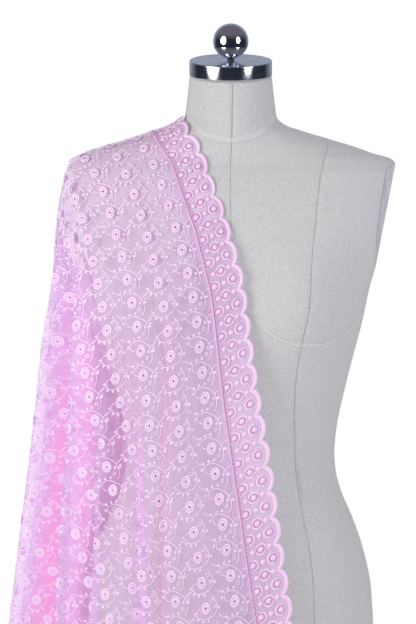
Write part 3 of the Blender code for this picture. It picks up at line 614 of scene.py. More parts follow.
def plate_edge(depth, y):
    """Depth where a section meets its plate: d (1 - (limit at y / width)^n)^(1/n)."""
    across = plate_limit(1, y, plate_z) / form_width(1.0, plate_z)
    return depth * np.clip(1 - across ** power, 0, 1) ** (1 / power)


front_y = np.full(PLATE_ROWS, -0.02)
for _ in range(PLATE_SETTLING):
    front_y = 0.5 * front_y - 0.5 * plate_edge(front, front_y)
across = np.linspace(0, 1, PLATE_COLUMNS)
plate_y = front_y[:, None] + (plate_edge(back, 0.0) - front_y)[:, None] * across
raised = PLATE_PADDING * np.minimum(np.minimum(across, 1 - across) / PLATE_EDGE, 1.0) - PLATE_SUNK
plate_x = plate_limit(1, plate_y, plate_z[:, None]) + raised
plate_grid = np.stack([plate_x, plate_y, np.broadcast_to(plate_z[:, None], plate_y.shape)], axis=-1)
plate_cloth, plate_shader, plate_nodes = principled("arm_plate_cloth", Sheen_Weight=0.3)
plate_creases = noise_at(place_on(plate_nodes), 90.0, (1.0, 1.0, 0.35), 4.0)
# The colour follows the creases' heights: painted shade in their hollows, painted highlight on their
# ridges.
plate_crease_shading = plate_creases.clamped(0.35, 0.65).mix((0.44, 0.44, 0.50, 1), (0.64, 0.64, 0.72, 1))
feed(plate_shader, Base_Color=plate_crease_shading, Roughness=plate_creases * 0.4 + 0.3,
     Normal=bump_over(plate_creases, 0.002, 0.6))
covered_plate = plate_grid[:COVERED_ROWS] * (-1, 1, 1) + (PLATE_PROUD, 0.0, 0.0)
plate_covers = joined("arm_plate_covers", [plate_grid[:, ::-1], covered_plate], plate_cloth)
# Painted shadow along the free plate's front edge, as a thin dark strip.
painted_edge_shadow = joined("arm_plate_painted_edge_shadow", [plate_grid[:, :1] + EDGE_SHADOW_SECTION],
                plain("plate_edge_shadow", (0.30, 0.27, 0.27, 1), 0.9))
for piece in (plate_covers, painted_edge_shadow):
    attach(piece, "root")

# ----------------------------------------------------------------------- draped stole
# One length of sheer georgette, 2.25 m by 0.85 m with its border, laid over a shoulder
# with its middle on the ridge. It is smooth to the first crease and falls in radial
# folds from the shoulder tip beyond it.
CLOTH_WIDTH = 0.850
HALF_LENGTH = 1.125
BORDER_WIDTH = 0.042
TIP_ACROSS = 0.155            # border edge to the shoulder tip, measured on the cloth
TIP = np.array([-0.1965, 0.0, 1.3830])
SEAM_GAP = 0.0003
OFF_RIDGE = 2e-5              # a point keeps this far from the ridge, so that it has a side
SADDLE_LENGTH = 0.090         # over this length the cloth leaves the shoulder's ridge
CREASE_SPREAD = 0.30          # how far the first side fold leaves the tip's own column
CREASE_ANGLE = math.pi / 2 + math.atan(CREASE_SPREAD)
CREASE_ROUND = 0.0065
CREASE_TURN = 0.025
CREASE_MARGIN = 0.06          # share of the flat fall, by the crease, that stays plain
FOLD_START = 0.170            # lengths from the tip at which the side folds grow
FOLD_GROWTH = 0.160
FOLD_FORMED = 0.320
FOLD_ROOM = 0.092             # depth and run of the side folds in plan, for their lengths
FOLD_RUN = 0.205
FINE_FACETS = (10, 6)         # steps of a fold's turn and of its straight part
CLOTH_FACETS = (5, 4)
CLOTH_SECTIONS = np.array([
    # z,     width,  front,  back,   square
    (0.030, 0.3650, 0.1500, 0.1700, 2.80),
    (0.285, 0.3340, 0.1420, 0.1600, 2.80),
    (0.585, 0.2960, 0.1300, 0.1450, 2.80),
    (0.826, 0.2660, 0.1230, 0.1360, 2.80),
    (0.887, 0.2573, 0.1220, 0.1350, 2.80),
    (0.982, 0.2461, 0.1205, 0.1270, 2.80),
    (1.078, 0.2350, 0.1195, 0.1200, 2.80),
    (1.150, 0.2285, 0.1190, 0.1150, 2.80),
    (1.215, 0.2215, 0.1170, 0.1120, 2.70),
    (1.244, 0.2190, 0.1125, 0.1110, 2.65),
    (1.284, 0.2155, 0.1000, 0.1100, 2.55),
    (1.317, 0.2112, 0.0890, 0.1080, 2.45),
    (1.339, 0.2075, 0.0815, 0.1040, 2.35),
    (1.366, 0.2018, 0.0725, 0.0965, 2.10),
    (1.376, 0.1995, 0.0680, 0.0900, 1.95),
    (1.383, 0.1965, 0.0655, 0.0860, 1.80),
    (1.386, 0.1915, 0.0645, 0.0840, 1.75),
    (1.3965, 0.1668, 0.0635, 0.0810, 1.65),
    (1.4075, 0.1296, 0.0625, 0.0770, 1.58),
    (1.4200, 0.0914, 0.0615, 0.0735, 1.62),
    (1.4282, 0.0705, 0.0605, 0.0700, 1.75),
    (1.4370, 0.0580, 0.0590, 0.0655, 1.90),
])
EDGE_TRACKS = {
    # x, z of the border's outer edge, in front and behind
    -1: np.array([
        (-0.0580, 1.4370), (-0.0480, 1.4162), (-0.0360, 1.3994), (-0.0264, 1.3718),
        (-0.0174, 1.3466), (-0.0072, 1.3202), (0.0000, 1.2962), (0.0072, 1.2698),
        (0.0139, 1.2434), (0.0184, 1.2146), (0.0221, 1.1858), (0.0306, 1.1234),
        (0.0408, 1.0634), (0.0504, 1.0034), (0.0588, 0.9398), (0.0696, 0.8678),
        (0.0756, 0.8258), (0.1080, 0.6000), (0.1500, 0.3000)]),
    1: np.array([
        (-0.0580, 1.4370), (-0.0490, 1.4150), (-0.0400, 1.3950), (-0.0320, 1.3700),
        (-0.0230, 1.3400), (-0.0150, 1.3050), (-0.0080, 1.2650), (0.0000, 1.2100),
        (0.0100, 1.1300), (0.0200, 1.0300), (0.0330, 0.9200), (0.0480, 0.8000),
        (0.0750, 0.6000), (0.1150, 0.3000)])}
CREASE_TRACKS = {
    # x, z of the first crisp fold, in front and behind
    -1: np.array([
        (-0.1965, 1.3830), (-0.1945, 1.3740), (-0.1870, 1.3500), (-0.1836, 1.3200),
        (-0.1826, 1.2866), (-0.1850, 1.2300), (-0.1888, 1.1780), (-0.1929, 1.0980),
        (-0.1975, 1.0190), (-0.2032, 0.9506), (-0.2080, 0.8746), (-0.2130, 0.8000),
        (-0.2290, 0.5850), (-0.2480, 0.2850), (-0.2600, 0.0300)]),
    1: np.array([
        (-0.1965, 1.3830), (-0.1950, 1.3740), (-0.1890, 1.3500), (-0.1850, 1.3200),
        (-0.1830, 1.2800), (-0.1860, 1.2100), (-0.1920, 1.1200), (-0.2010, 1.0000),
        (-0.2080, 0.8800), (-0.2160, 0.7800), (-0.2300, 0.5850), (-0.2480, 0.2850),
        (-0.2600, 0.0300)])}
SIDE_FOLDS = np.array([
    # ridge and hollow in shares of the way in to the body, share of the cloth
    (0.00, 0.54, 1.00), (-0.18, 0.60, 1.05), (0.10, 0.92, 1.10), (0.20, 0.90, 0.90),
    (0.14, 1.00, 1.10), (0.12, 0.84, 1.00), (0.00, 0.00, 0.00)])
FOLD_SHARES = SIDE_FOLDS[:-1, 2] / SIDE_FOLDS[:-1, 2].sum()
CREST_ROOM = 0.085            # a ridge below 0 stands out by its share of this
CREST_HEIGHTS = (0.45, 0.80)  # and does so fully above the second height
BODY_EASE = 0.0045            # a hollow ends this far from the form
HOLLOW_LIMIT = 0.47           # or at this share of the outer form's width
FREE_LIMIT = np.array([
    # z,    share of that limit, less lower down, where the folds hang free of the form
    (0.030, 0.34), (0.300, 0.40), (0.500, 0.60), (0.650, 0.86), (0.740, 1.00)])
PLEAT_HEIGHT = 0.0007         # fine pleats between the main side folds
PLEATS = ((1.0, 47, 9, 0), (0.7, 83, -14, 1))     # height, waves across, lean, start
PLEATS_FROM = (0.02, 0.12)
EDGE_POWER = 2.2              # how soon the side's heights turn to those of its creases
TIP_LIFT = 0.002              # what the round of the shoulder takes up of the drop
TIP_LIFTED = 0.03
TIP_ROUND = 0.020
SETTLE = 0.0030               # the border sinks on to the form, along it and across it
SETTLED_ALONG = (0.01, 0.06)
SETTLED_ACROSS = (0.05, 0.13)
DIP = 0.012                   # the fall sinks between the bust cups
DIP_ACROSS = (-0.070, 0.015)
DIP_START = (1.04, 1.18)
DIP_END = (1.19, 1.28)
LAPS = {
    # place, width, lap, step, start_z
    -1: [(0.815, 0.022, 0.0075, 0.0060, 1.150), (0.605, 0.022, 0.0088, 0.0065, 1.215)],
    1: [(0.720, 0.034, 0.0110, 0.0060, 1.230), (0.480, 0.040, 0.0080, 0.0050, 1.000)]}
LAP_FULL_DROP = 0.28          # a lap is full this far below its start
LAP_PEAK = 2.33               # makes the largest of q e^(-q^2) one
LAP_STEEP = 1.6
PULL = 0.0155                 # how far the cloth is drawn across lower down
PULL_REACH = 0.055
PULL_START = 0.19
PULL_END = 0.50
HEM_EASE = 0.35               # past this place across, the shifts die away
WRINKLES = {
    # place across at WRINKLE_LEVEL, lean, start, end, half width, height
    -1: np.array([
        (0.0530, 0.03, 0.05, 1.10, 0.0045, 0.0010),
        (0.0600, 0.05, 0.24, 0.62, 0.0030, -0.0009),
        (0.0860, 0.16, 0.27, 0.52, 0.0024, -0.0007),
        (0.0965, 0.19, 0.24, 0.58, 0.0030, -0.0010),
        (0.1060, 0.20, 0.33, 0.50, 0.0022, -0.0005),
        (0.1180, 0.22, 0.26, 0.60, 0.0026, -0.0009),
        (0.1250, 0.21, 0.22, 0.98, 0.0052, -0.0024),
        (0.1335, 0.22, 0.30, 0.66, 0.0024, -0.0008),
        (0.1400, 0.20, 0.36, 0.95, 0.0070, 0.0022),
        (0.1500, 0.22, 0.23, 0.42, 0.0026, -0.0008),
        (0.1700, 0.24, 0.20, 0.46, 0.0028, -0.0010),
        (0.1810, 0.26, 0.18, 0.60, 0.0040, -0.0016),
        (0.1930, 0.27, 0.24, 0.52, 0.0026, -0.0008),
        (0.2060, 0.28, 0.22, 0.74, 0.0044, 0.0014),
        (0.2250, 0.30, 0.26, 0.60, 0.0034, -0.0012),
        (0.0760, 0.10, 0.52, 1.02, 0.0036, -0.0009),
        (0.1080, 0.14, 0.55, 1.05, 0.0046, 0.0012)]),
    1: np.array([
        (0.0560, 0.03, 0.06, 1.10, 0.0050, 0.0010),
        (0.0900, 0.12, 0.30, 0.80, 0.0040, -0.0012),
        (0.1120, 0.16, 0.24, 0.62, 0.0030, -0.0009),
        (0.1360, 0.20, 0.34, 1.02, 0.0060, -0.0022),
        (0.1550, 0.22, 0.22, 0.60, 0.0034, -0.0010),
        (0.1780, 0.25, 0.30, 0.86, 0.0054, 0.0018),
        (0.2040, 0.28, 0.22, 0.70, 0.0040, -0.0014),
        (0.2300, 0.30, 0.36, 0.92, 0.0044, -0.0014)])}
WRINKLE_LEVEL = 0.36          # length from the shoulder
WRINKLE_FADE = 0.12
SIDES = (("front", -1), ("back", 1))     # the sign of y on each side


def section_width(table, y, z):
    """Half width of the superellipse at depth y: w (1 - |y / d|^n)^(1/n)."""
    width, power = section_value(table, 1, z), section_value(table, 4, z)
    depth = np.where(y < 0, section_value(table, 2, z), section_value(table, 3, z))
    return width * np.clip(1 - np.abs(y / depth) ** power, 0.0, 1.0) ** (1 / power)


def hang_depth(side, x, z):
    """Depth of the smooth fall at x: d (1 - |x / w|^n)^(1/n), from its sections.

    The front sinks a little between the bust cups.
    """
    width, power = section_value(CLOTH_SECTIONS, 1, z), section_value(CLOTH_SECTIONS, 4, z)
    depth = section_value(CLOTH_SECTIONS, 2 if side < 0 else 3, z)
    depth = depth * np.clip(1 - np.abs(x / width) ** power, 0.0, 1.0) ** (1 / power)
    if side < 0:
        dip = smooth_step(*DIP_ACROSS, x) * smooth_step(*DIP_START, z)
        depth = depth - DIP * dip * (1 - smooth_step(*DIP_END, z))
    return depth


def track_by_length(table, side, lengths):
    """Points on an (x, z) track at given lengths along it, measured in space.

    The track is worked out at 1500 heights, closest together by the ridge.
    """
    order = table[::-1]
    z = table[0, 1] + (table[-1, 1] - table[0, 1]) * np.linspace(0, 1, 1500) ** 3
    x = smooth_curve(order[:, 1], order[:, 0], z)
    points = np.stack([x, side * hang_depth(side, x, z), z], axis=1)
    run = run_along(points)
    return np.stack([np.interp(lengths, run, column) for column in points.T], axis=-1)


def ridge_height(x):
    """Height of the smooth form's top line, where its sections close to a point."""
    rows = CLOTH_SECTIONS[CLOTH_SECTIONS[:, 0] >= TIP[2] - 1e-6][::-1]
    return smooth_curve(rows[:, 1], rows[:, 0], np.abs(x))


def lap_share(start, z):
    """How far a lap that starts at a height has grown at another."""
    return smooth_step(0.0, LAP_FULL_DROP, start - z)


def lap_offsets(side, across, z):
    """Shift along x, lap q e^(-q^2), and depth, a rounded step, of the soft laps.

    q is the place across the fall from the lap's own, in its widths.
    """
    shift, step = np.zeros_like(z), np.zeros_like(z)
    for place_across, width, lap, rise, start in LAPS[side]:
        grown = lap_share(start, z)
        q = (across - place_across) / width
        shift += grown * lap * LAP_PEAK * q * np.exp(-q * q)
        step += grown * rise * 0.5 * (1 + np.tanh(LAP_STEEP * q))
    return shift, step


def along_wrinkle(wrinkle, across, run):
    """1 on a wrinkle, e^(-(d / w)^2) at a distance d from it, faded in and out along it."""
    place_across, lean, start, end, half_width, _ = wrinkle
    d = across - place_across - lean * (run - WRINKLE_LEVEL)
    begun = smooth_step(start, start + WRINKLE_FADE, run)
    return np.exp(-(d / half_width) ** 2) * begun * (1 - smooth_step(end - WRINKLE_FADE, end, run))


def wrinkle_height(side, across, run):
    """Height of the fine creases, listed one by one."""
    return sum(wrinkle[5] * along_wrinkle(wrinkle, across, run) for wrinkle in WRINKLES[side])


def to_crease(run):
    """Width of the flat fall on the cloth, from the border's edge to the crease."""
    return TIP_ACROSS + CREASE_SPREAD * run


def fall_points(side, across, run, lapped=1.0):
    """A flat fall: straight rows from the border's edge (0) to the crease (1), at a
    length from the shoulder, laid on the smooth outer form with the laps added."""
    edge = track_by_length(EDGE_TRACKS[side], side, run)
    crease = track_by_length(CREASE_TRACKS[side], side, run * math.hypot(1, CREASE_SPREAD))
    x = edge[..., 0] + (crease[..., 0] - edge[..., 0]) * across
    z = edge[..., 2] + (crease[..., 2] - edge[..., 2]) * across
    track_top = np.array([EDGE_TRACKS[side][0, 0], 0.0, EDGE_TRACKS[side][0, 1]])
    top = track_top + (TIP - track_top) * across[..., None]
    z = z + (ridge_height(top[..., 0]) - top[..., 2]) * np.exp(-(run / SADDLE_LENGTH) ** 2)
    shift, step = lap_offsets(side, across, z)
    inner = smooth_step(0.0, CREASE_MARGIN, 1 - across)
    turn = np.clip((across - 1 + CREASE_TURN) / CREASE_TURN, 0.0, 1.0)
    forward = CREASE_ROUND * smooth_step(FOLD_START / 2, FOLD_FORMED, run)
    forward = forward * smooth_step(0.5, 1 - CREASE_TURN, across)
    from_edge = across * to_crease(run)
    settled = smooth_step(*SETTLED_ALONG, run) * (1 - smooth_step(*SETTLED_ACROSS, from_edge))
    depth = hang_depth(side, x, z) - step * inner * lapped + forward * np.sqrt(1 - turn ** 2)
    depth = depth - SETTLE * settled + wrinkle_height(side, from_edge, run) * inner
    return np.stack([x + shift * inner * lapped, side * depth, z], axis=-1)


def fold_path(turn_steps, straight_steps):
    """The side folds in plan, from the front crease to the back one.

    Each pass from a ridge to a hollow, or out again, is a quarter turn, a straight and
    a quarter turn. For each point of the path: how far in it lies, its share of the
    way along, the even share that guides it, and the length up to it.
    """
    inward, along, guide = [np.zeros(1)], [np.zeros(1)], [np.zeros(1)]
    passed = 0.0
    turn = np.linspace(0, math.pi / 2, turn_steps + 1)
    straight = np.linspace(0, 1, straight_steps + 1)[1:]
    for fold, after, half in zip(SIDE_FOLDS, SIDE_FOLDS[1:], FOLD_SHARES / 2):
        radius = half / 2
        reach = radius * FOLD_RUN / FOLD_ROOM
        for start, stop in ((fold[0], fold[1]), (fold[1], after[0])):
            sign = math.copysign(1.0, stop - start)
            first = start + sign * reach * (1 - np.cos(turn))
            last = stop - sign * reach * (1 - np.cos(turn[::-1]))
            middle = first[-1] + (last[0] - first[-1]) * straight
            inward.append(np.concatenate([first[1:], middle, last[1:]]))
            guide.append(passed + half * (inward[-1] - start) / (stop - start))
            along += [passed + radius * np.sin(turn[1:]), np.full(straight_steps, passed + radius),
                      passed + half - radius * np.sin(turn[::-1][1:])]
            passed += half
    inward, along, guide = (np.concatenate(part) for part in (inward, along, guide))
    return inward, along, guide, run_along(np.column_stack([inward * FOLD_ROOM, along * FOLD_RUN]))


FINE_PATH = fold_path(*FINE_FACETS)
PATH_MIDDLE = FINE_PATH[3][int(np.argmin(np.abs(FINE_PATH[1] - 0.5)))]


def tip_share(across, run):
    """Direction from the shoulder tip: 0 along the crease, 1 along the side's middle."""
    angle = np.arctan2(run, TIP_ACROSS - across)
    return np.clip((angle - CREASE_ANGLE) / (math.pi - CREASE_ANGLE), 0.0, 1.0)


def place_on_path(side, share):
    """Length along the fold path at a share of the way from either crease to its middle."""
    end = FINE_PATH[3][-1]
    return share * PATH_MIDDLE if side < 0 else end - share * (end - PATH_MIDDLE)


def side_points(side, share, radius):
    """The hanging side: folds between the two creases, at a distance from the tip.

    share is 0 at the crease and 1 at the middle of the side. Points run along the
    fold path between the outer form and the body; the drop is the distance from the
    tip less what the round of the shoulder takes up.
    """
    at = place_on_path(side, share)
    even = at / FINE_PATH[3][-1]
    inward, along, guide = (np.interp(at, FINE_PATH[3], values) for values in FINE_PATH[:3])
    formed = smooth_step(0.0, FOLD_FORMED, radius)
    along = even + (along - even) * formed
    guide = even + (guide - even) * formed
    front = track_by_length(CREASE_TRACKS[-1], -1, radius)
    back = track_by_length(CREASE_TRACKS[1], 1, radius)
    edge_share = np.abs(2 * along - 1) ** EDGE_POWER
    ends = np.where(along < 0.5, front[..., 2], back[..., 2])
    z = (TIP[2] - radius + TIP_LIFT * smooth_step(0, TIP_LIFTED, radius)) * (1 - edge_share)
    z = z + ends * edge_share
    end_x, y = (front[..., k] + (back[..., k] - front[..., k]) * along for k in (0, 1))
    guide_y = front[..., 1] + (back[..., 1] - front[..., 1]) * guide
    from_tip = smooth_step(0.0, TIP_ROUND, radius)
    outer = section_width(CLOTH_SECTIONS, guide_y, z) * from_tip - end_x * (1 - from_tip)
    body = np.minimum(section_width(FORM_SECTIONS, guide_y, z), arm_plate(z))
    free = smooth_curve(FREE_LIMIT[:, 0], FREE_LIMIT[:, 1], z)
    limit = (np.maximum(body, HOLLOW_LIMIT * outer) + BODY_EASE) * free
    grown = smooth_step(0.0, FOLD_START, radius) * (1 - np.exp(-radius / FOLD_GROWTH))
    pleat = sum(height * np.sin(waves * share + lean * radius + start)
                for height, waves, lean, start in PLEATS)
    pleat = PLEAT_HEIGHT * pleat * np.sin(math.pi * share) * smooth_step(*PLEATS_FROM, radius)
    room = np.clip(outer - limit, 0.0, 1.0)
    crest_room = np.minimum(room, CREST_ROOM) * smooth_step(*CREST_HEIGHTS, z)
    room = np.where(inward < 0, crest_room, room)
    x = -(outer + pleat - inward * room * grown)
    return np.stack([x, y + side * SEAM_GAP / 2, z], axis=-1)


def drape(across, along):
    """The stole's middle surface at a place on the flat cloth, in metres.

    across is measured from the border's edge and along from the shoulder ridge, below
    zero in front and above it behind. Up to the crease it is a flat fall; beyond, the
    place is turned into a distance and a direction from the shoulder tip.
    """
    points = np.empty(across.shape + (3,))
    for side in (-1, 1):
        here = along < 0 if side < 0 else along >= 0
        u, run = across[here], np.abs(along[here])
        crease = to_crease(run)
        flat = u <= crease
        found = np.empty(u.shape + (3,))
        found[flat] = fall_points(side, u[flat] / crease[flat], run[flat])
        u, run = u[~flat], run[~flat]
        found[~flat] = side_points(side, tip_share(u, run), np.hypot(u - TIP_ACROSS, run))
        points[here] = found
    return points


# A net of places on the cloth, which the laps' and the pull's shifts are kept on.
NET_RUNS = np.linspace(0.0, HALF_LENGTH, 90)
NET_PLACES = np.linspace(0.0, 1.0, 1001)


def lap_table(side):
    """Places on the drape's net for places on the flat cloth, row by row of the fall.

    A lap's path is longer than the plain fall's. The cloth it takes up is the sum of
    the differences of the two paths' steps, so what lies past it sits further in.
    """
    share = np.linspace(0.0, 1.0, 600)
    shares, runs = np.meshgrid(share, NET_RUNS)
    steps = [np.linalg.norm(np.diff(fall_points(side, shares, runs, lapped), axis=1), axis=2)
             for lapped in (1.0, 0.0)]
    taken = np.concatenate([np.zeros((len(NET_RUNS), 1)), np.cumsum(steps[0] - steps[1], axis=1)],
                           axis=1)
    net = shares * to_crease(runs)
    return np.stack([np.where(NET_PLACES < flat[-1] + extra[-1],
                              np.interp(NET_PLACES, flat + extra, flat), NET_PLACES - extra[-1])
                     for flat, extra in zip(net, taken)])


LAP_TABLES = {side: lap_table(side) for side in (-1, 1)}


def eased(across, along):
    """Where a place on the cloth lies on the drape's own net.

    Lower down it sits further out, as the cloth is drawn across: plus
    PULL (1 - e^(-across / PULL_REACH)). Past each lap it lies further in, by what the
    lap takes up. Both die away at the plain hem.
    """
    run = np.abs(along)
    drawn = PULL * (1 - np.exp(-across / PULL_REACH)) * smooth_step(PULL_START, PULL_END, run)
    place = (across + drawn) / NET_PLACES[-1] * (len(NET_PLACES) - 1)
    column = np.clip(place.astype(int), 0, len(NET_PLACES) - 2)
    row_at = run / HALF_LENGTH * (len(NET_RUNS) - 1)
    row = np.clip(row_at.astype(int), 0, len(NET_RUNS) - 2)
    p, q = place - column, row_at - row
    net = np.zeros(np.broadcast(across, along).shape)
    for side in (-1, 1):
        table = LAP_TABLES[side]
        upper = table[row, column] * (1 - p) + table[row, column + 1] * p
        lower = table[row + 1, column] * (1 - p) + table[row + 1, column + 1] * p
        net = np.where(along * side >= 0, upper * (1 - q) + lower * q, net)
    return net + (across - net) * smooth_step(HEM_EASE, CLOTH_WIDTH, across)


LAP_SHADE = 0.28              # how much pinker the cloth under a lap is painted: painted shade of the lap's fold, partly its doubled cloth
LAP_SHADE_WIDTH = 1.6
LAP_SHADE_PLACE = 0.8
DEEP_WRINKLE = 0.0035         # depths at which a wrinkle and a hollow get their full painted shade, their pinkest
DEEP_HOLLOW = 0.40
HOLLOW_POWER = 3.2
# the side folds are all painted a little pinker: painted shade
SIDE_TINT = 0.10


def painted_fold_shade(side, across, run, z):
    """Painted shade, 0 to 1, by how deep in a fold a place lies: under the laps, along
    the pressed-in wrinkles and in the hollows of the side folds, and a little all over the side."""
    crease = to_crease(run)
    flat = np.zeros(across.shape)
    for place_across, width, _, _, start in LAPS[side]:
        beside = (across / crease - place_across) / width / LAP_SHADE_WIDTH - LAP_SHADE_PLACE
        flat += LAP_SHADE * lap_share(start, z) * np.exp(-beside ** 2)
    for wrinkle in WRINKLES[side][WRINKLES[side][:, 5] < 0]:
        flat += along_wrinkle(wrinkle, across, run) * -wrinkle[5] / DEEP_WRINKLE
    inward, along, _, length = FINE_PATH
    at = place_on_path(side, tip_share(across, run))
    hollow_places = np.cumsum(FOLD_SHARES) - FOLD_SHARES / 2
    crest = SIDE_FOLDS[np.searchsorted(hollow_places, np.interp(at, length, along)), 0]
    below = np.clip((np.interp(at, length, inward) - crest) / DEEP_HOLLOW, 0.0, 1.0)
    hollow = below ** HOLLOW_POWER * smooth_step(0.04, FOLD_FORMED, run)
    hollow = hollow + SIDE_TINT * smooth_step(0.02, 0.30, run)
    return np.clip(np.where(across <= crease, flat, hollow), 0.0, 1.0)


def cloth_normals(across, along, step=0.0005):
    """Outward normals of the drape: the cross product of small steps on the cloth."""
    inside = np.where(along < 0, np.minimum(along, -2 * step), np.maximum(along, 2 * step))
    down = drape(across, inside + step) - drape(across, inside - step)
    over = drape(across + step, inside) - drape(across - step, inside)
    return unit(np.cross(down, over))


CLOTH_COUNTS = {-1: (300, 110), 1: (220, 70)}     # rows and flat columns of each fall
CREASE_COLUMNS = 12           # closer columns by the crease, past this share of the fall
CREASE_COLUMNS_FROM = (0.94, 0.945)
LAP_COLUMNS = 24              # more over each lap, to this many of its widths each way
LAP_COLUMNS_REACH = 1.7


def cloth_grid(side):
    """Places on the flat cloth that follow its folds: rows of equal shares of the fall,
    columns across the flat part and then at every facet of the side folds."""
    rows, flat_columns = CLOTH_COUNTS[side]
    down = np.linspace(0.0, 1.0, rows)
    down[0] = 1e-4
    run = (down * HALF_LENGTH)[:, None]
    first = eased(np.full_like(run, BORDER_WIDTH + SEAM_GAP), side * run)
    spread = [np.linspace(0, CREASE_COLUMNS_FROM[0], flat_columns),
              np.linspace(CREASE_COLUMNS_FROM[1], 1.0, CREASE_COLUMNS)]
    over_lap = np.linspace(-LAP_COLUMNS_REACH, LAP_COLUMNS_REACH, LAP_COLUMNS)
    spread += [place_across + width * over_lap for place_across, width, *_ in LAPS[side]]
    flat_u = np.maximum(first, to_crease(run) * np.unique(np.concatenate(spread)))
    flat_v = np.broadcast_to(run, flat_u.shape)
    _, along, _, length = fold_path(*CLOTH_FACETS)
    middle = int(np.argmin(np.abs(along - 0.5)))
    if side > 0:
        length = (length[-1] - length)[::-1]
        middle = len(length) - 1 - middle
    corner = tip_share(CLOTH_WIDTH, HALF_LENGTH)
    share = np.sort(np.append(length[1:middle + 1] / length[middle], corner))
    angle = CREASE_ANGLE + (math.pi - CREASE_ANGLE) * share
    reach = np.minimum(HALF_LENGTH / np.maximum(np.sin(angle), 1e-9),
                       (CLOTH_WIDTH - TIP_ACROSS) / -np.cos(angle))
    radius = down[:, None] * reach
    u = np.concatenate([flat_u, TIP_ACROSS - radius * np.cos(angle)], axis=1)
    v = np.concatenate([flat_v, radius * np.sin(angle)], axis=1)
    return u, side * np.maximum(v, OFF_RIDGE)


def cloth_sheet(name, side, points, places, material):
    """A grid of cloth in rows down the fall. The front's faces are turned to face out."""
    quads = grid_quads(*points.shape[:2])
    return put_mesh(name, points, quads if side > 0 else quads[:, ::-1], material,
                    uv=np.stack(places, axis=-1))


def cloth_places(nodes):
    """Places on the flat cloth in metres: across from the border's edge, and along."""
    return nodes.node("ShaderNodeUVMap", {"uv_map": "cloth"})


def crepe_of(places):
    """The fine, even grain of crepe yarns."""
    return noise_at(places, 1.0, (900.0, 900.0, 1.0), 2.0)


def casting(nodes):
    """1 where light is stopped to cast a shadow, and 0 where the surface is seen."""
    return nodes.node("ShaderNodeLightPath", output=1)


georgette, georgette_shader, georgette_nodes = principled(
    "georgette", Roughness=0.6, Sheen_Weight=0.35, Sheen_Roughness=0.4)
georgette_places = cloth_places(georgette_nodes)
crepe = crepe_of(georgette_places)
cloud = noise_at(georgette_places, 1.0, (14.0, 14.0, 1.0), 2.0)
# Deep in folds, under laps and along wrinkles the cloth is painted hot pink and denser: painted shade,
# partly the extra layers there.
fold_shade_value = georgette_nodes.node("ShaderNodeAttribute", {"attribute_name": "fold_shade"}, output=2)
pale = cloud.clamped(0.2, 0.8).mix((0.83, 0.495, 0.86, 1), (0.89, 0.55, 0.91, 1))
# On the side folds the cloth is painted a darker lavender: painted shade of the folded side.
on_side = georgette_places.part(0).clamped(0.17, 0.25)
cloth_color = fold_shade_value.mix(on_side.mix(pale, (0.73, 0.50, 0.82, 1)), (0.93, 0.39, 0.74, 1))
cover = crepe * 0.24 + 0.26 + fold_shade_value * 0.22
# Scattered light comes through the weave, so the shadow is lighter than the cover.
passed = fold_shade_value * 0.08 + on_side * 0.20 + 0.70
feed(georgette_shader, Base_Color=cloth_color, Normal=bump_over(crepe, 0.0004, 0.4),
     Alpha=cover * (1 - casting(georgette_nodes) * passed))

panels = {}
for label, side in SIDES:
    u, v = cloth_grid(side)
    points = drape(u, v)
    panels[side] = cloth_sheet(f"stole_{label}", side, points, (u, v), georgette)
    # Each point keeps its painted fold shade, which the georgette reads.
    fold_shade_layer = panels[side].data.attributes.new("fold_shade", "FLOAT", "POINT")
    fold_shade_layer.data.foreach_set(
        "value", painted_fold_shade(side, u, np.abs(v), points[..., 2]).astype(np.float32).ravel())
    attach(panels[side], "root")
    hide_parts(f"panel_{label}")

# ------------------------------------------------------------------- all-over embroidery
# Machine embroidery in a paler satin thread: rows of eyelet roundels, each held by a
# curling stem with berries along it. Neighbouring columns hang the other way up.
COLUMN_FIRST = 0.0645
COLUMN_STEP = 0.0372
COLUMN_SHIFTS = (0.50, 0.33, 0.62, 0.24)     # share of a repeat by which columns start late
REPEAT = 0.0285
REPEAT_GROWTH = 0.00006       # the cloth's own weight draws the repeats out lower down
REPEAT_DRAWN = 0.030          # a repeat as the motifs are drawn
MEAN_REPEAT = 0.0312          # with that growth, over the whole length
OUTER_RING = (0.0050, 0.0061)        # half width and half height of a roundel's two rings
INNER_RING = (0.0024, 0.0031)
STEM_HALF = 0.00046
HEM_MARGIN = 0.012            # left bare along the plain hems
STITCH_LIFT = 0.0003          # the work's underside above the cloth
FLAT_SIDE = (0.17, 0.30)      # the relief is flatter past these places across
FLAT_RIDGE = (0.012, 0.045)   # and up to these distances from the shoulder's ridge
FLATTER = 0.7


def repeat_run(number):
    """Distance from the ridge to a repeat: REPEAT n + REPEAT_GROWTH n^2, either way."""
    n = np.abs(number)
    return np.sign(number) * (REPEAT * n + REPEAT_GROWTH * n ** 2)


def arc(centre_at, radius, start, stop, count):
    """Points of an arc, in degrees from +a towards +b; radius is one size or two."""
    angle = np.radians(np.linspace(start, stop, count))
    half = np.broadcast_to(radius, 2)
    return np.asarray(centre_at) + half * np.column_stack([np.cos(angle), np.sin(angle)])


def stitched(path, half_width, lift, section):
    """Points (a, b, height) of a stroke: its path plus a section of (side, rise) pairs,
    in half widths to the left of the path and in lifts."""
    run = np.gradient(path, axis=0)
    step = unit(np.column_stack([-run[:, 1], run[:, 0]])) * np.reshape(half_width, (-1, 1))
    return np.stack([np.column_stack([path + step * side, np.full(len(path), lift * rise)])
                     for side, rise in section], axis=1)


def satin_stroke(path, half_width, lift):
    """A padded satin stroke: three points across, the middle raised."""
    return stitched(path, half_width, lift, ((1, 0.2), (0, 1.0), (-1, 0.2)))


def running_stroke(path, half_width, lift):
    """A thin flat stroke: two points across."""
    return stitched(path, half_width, lift, ((1, 1.0), (-1, 1.0)))


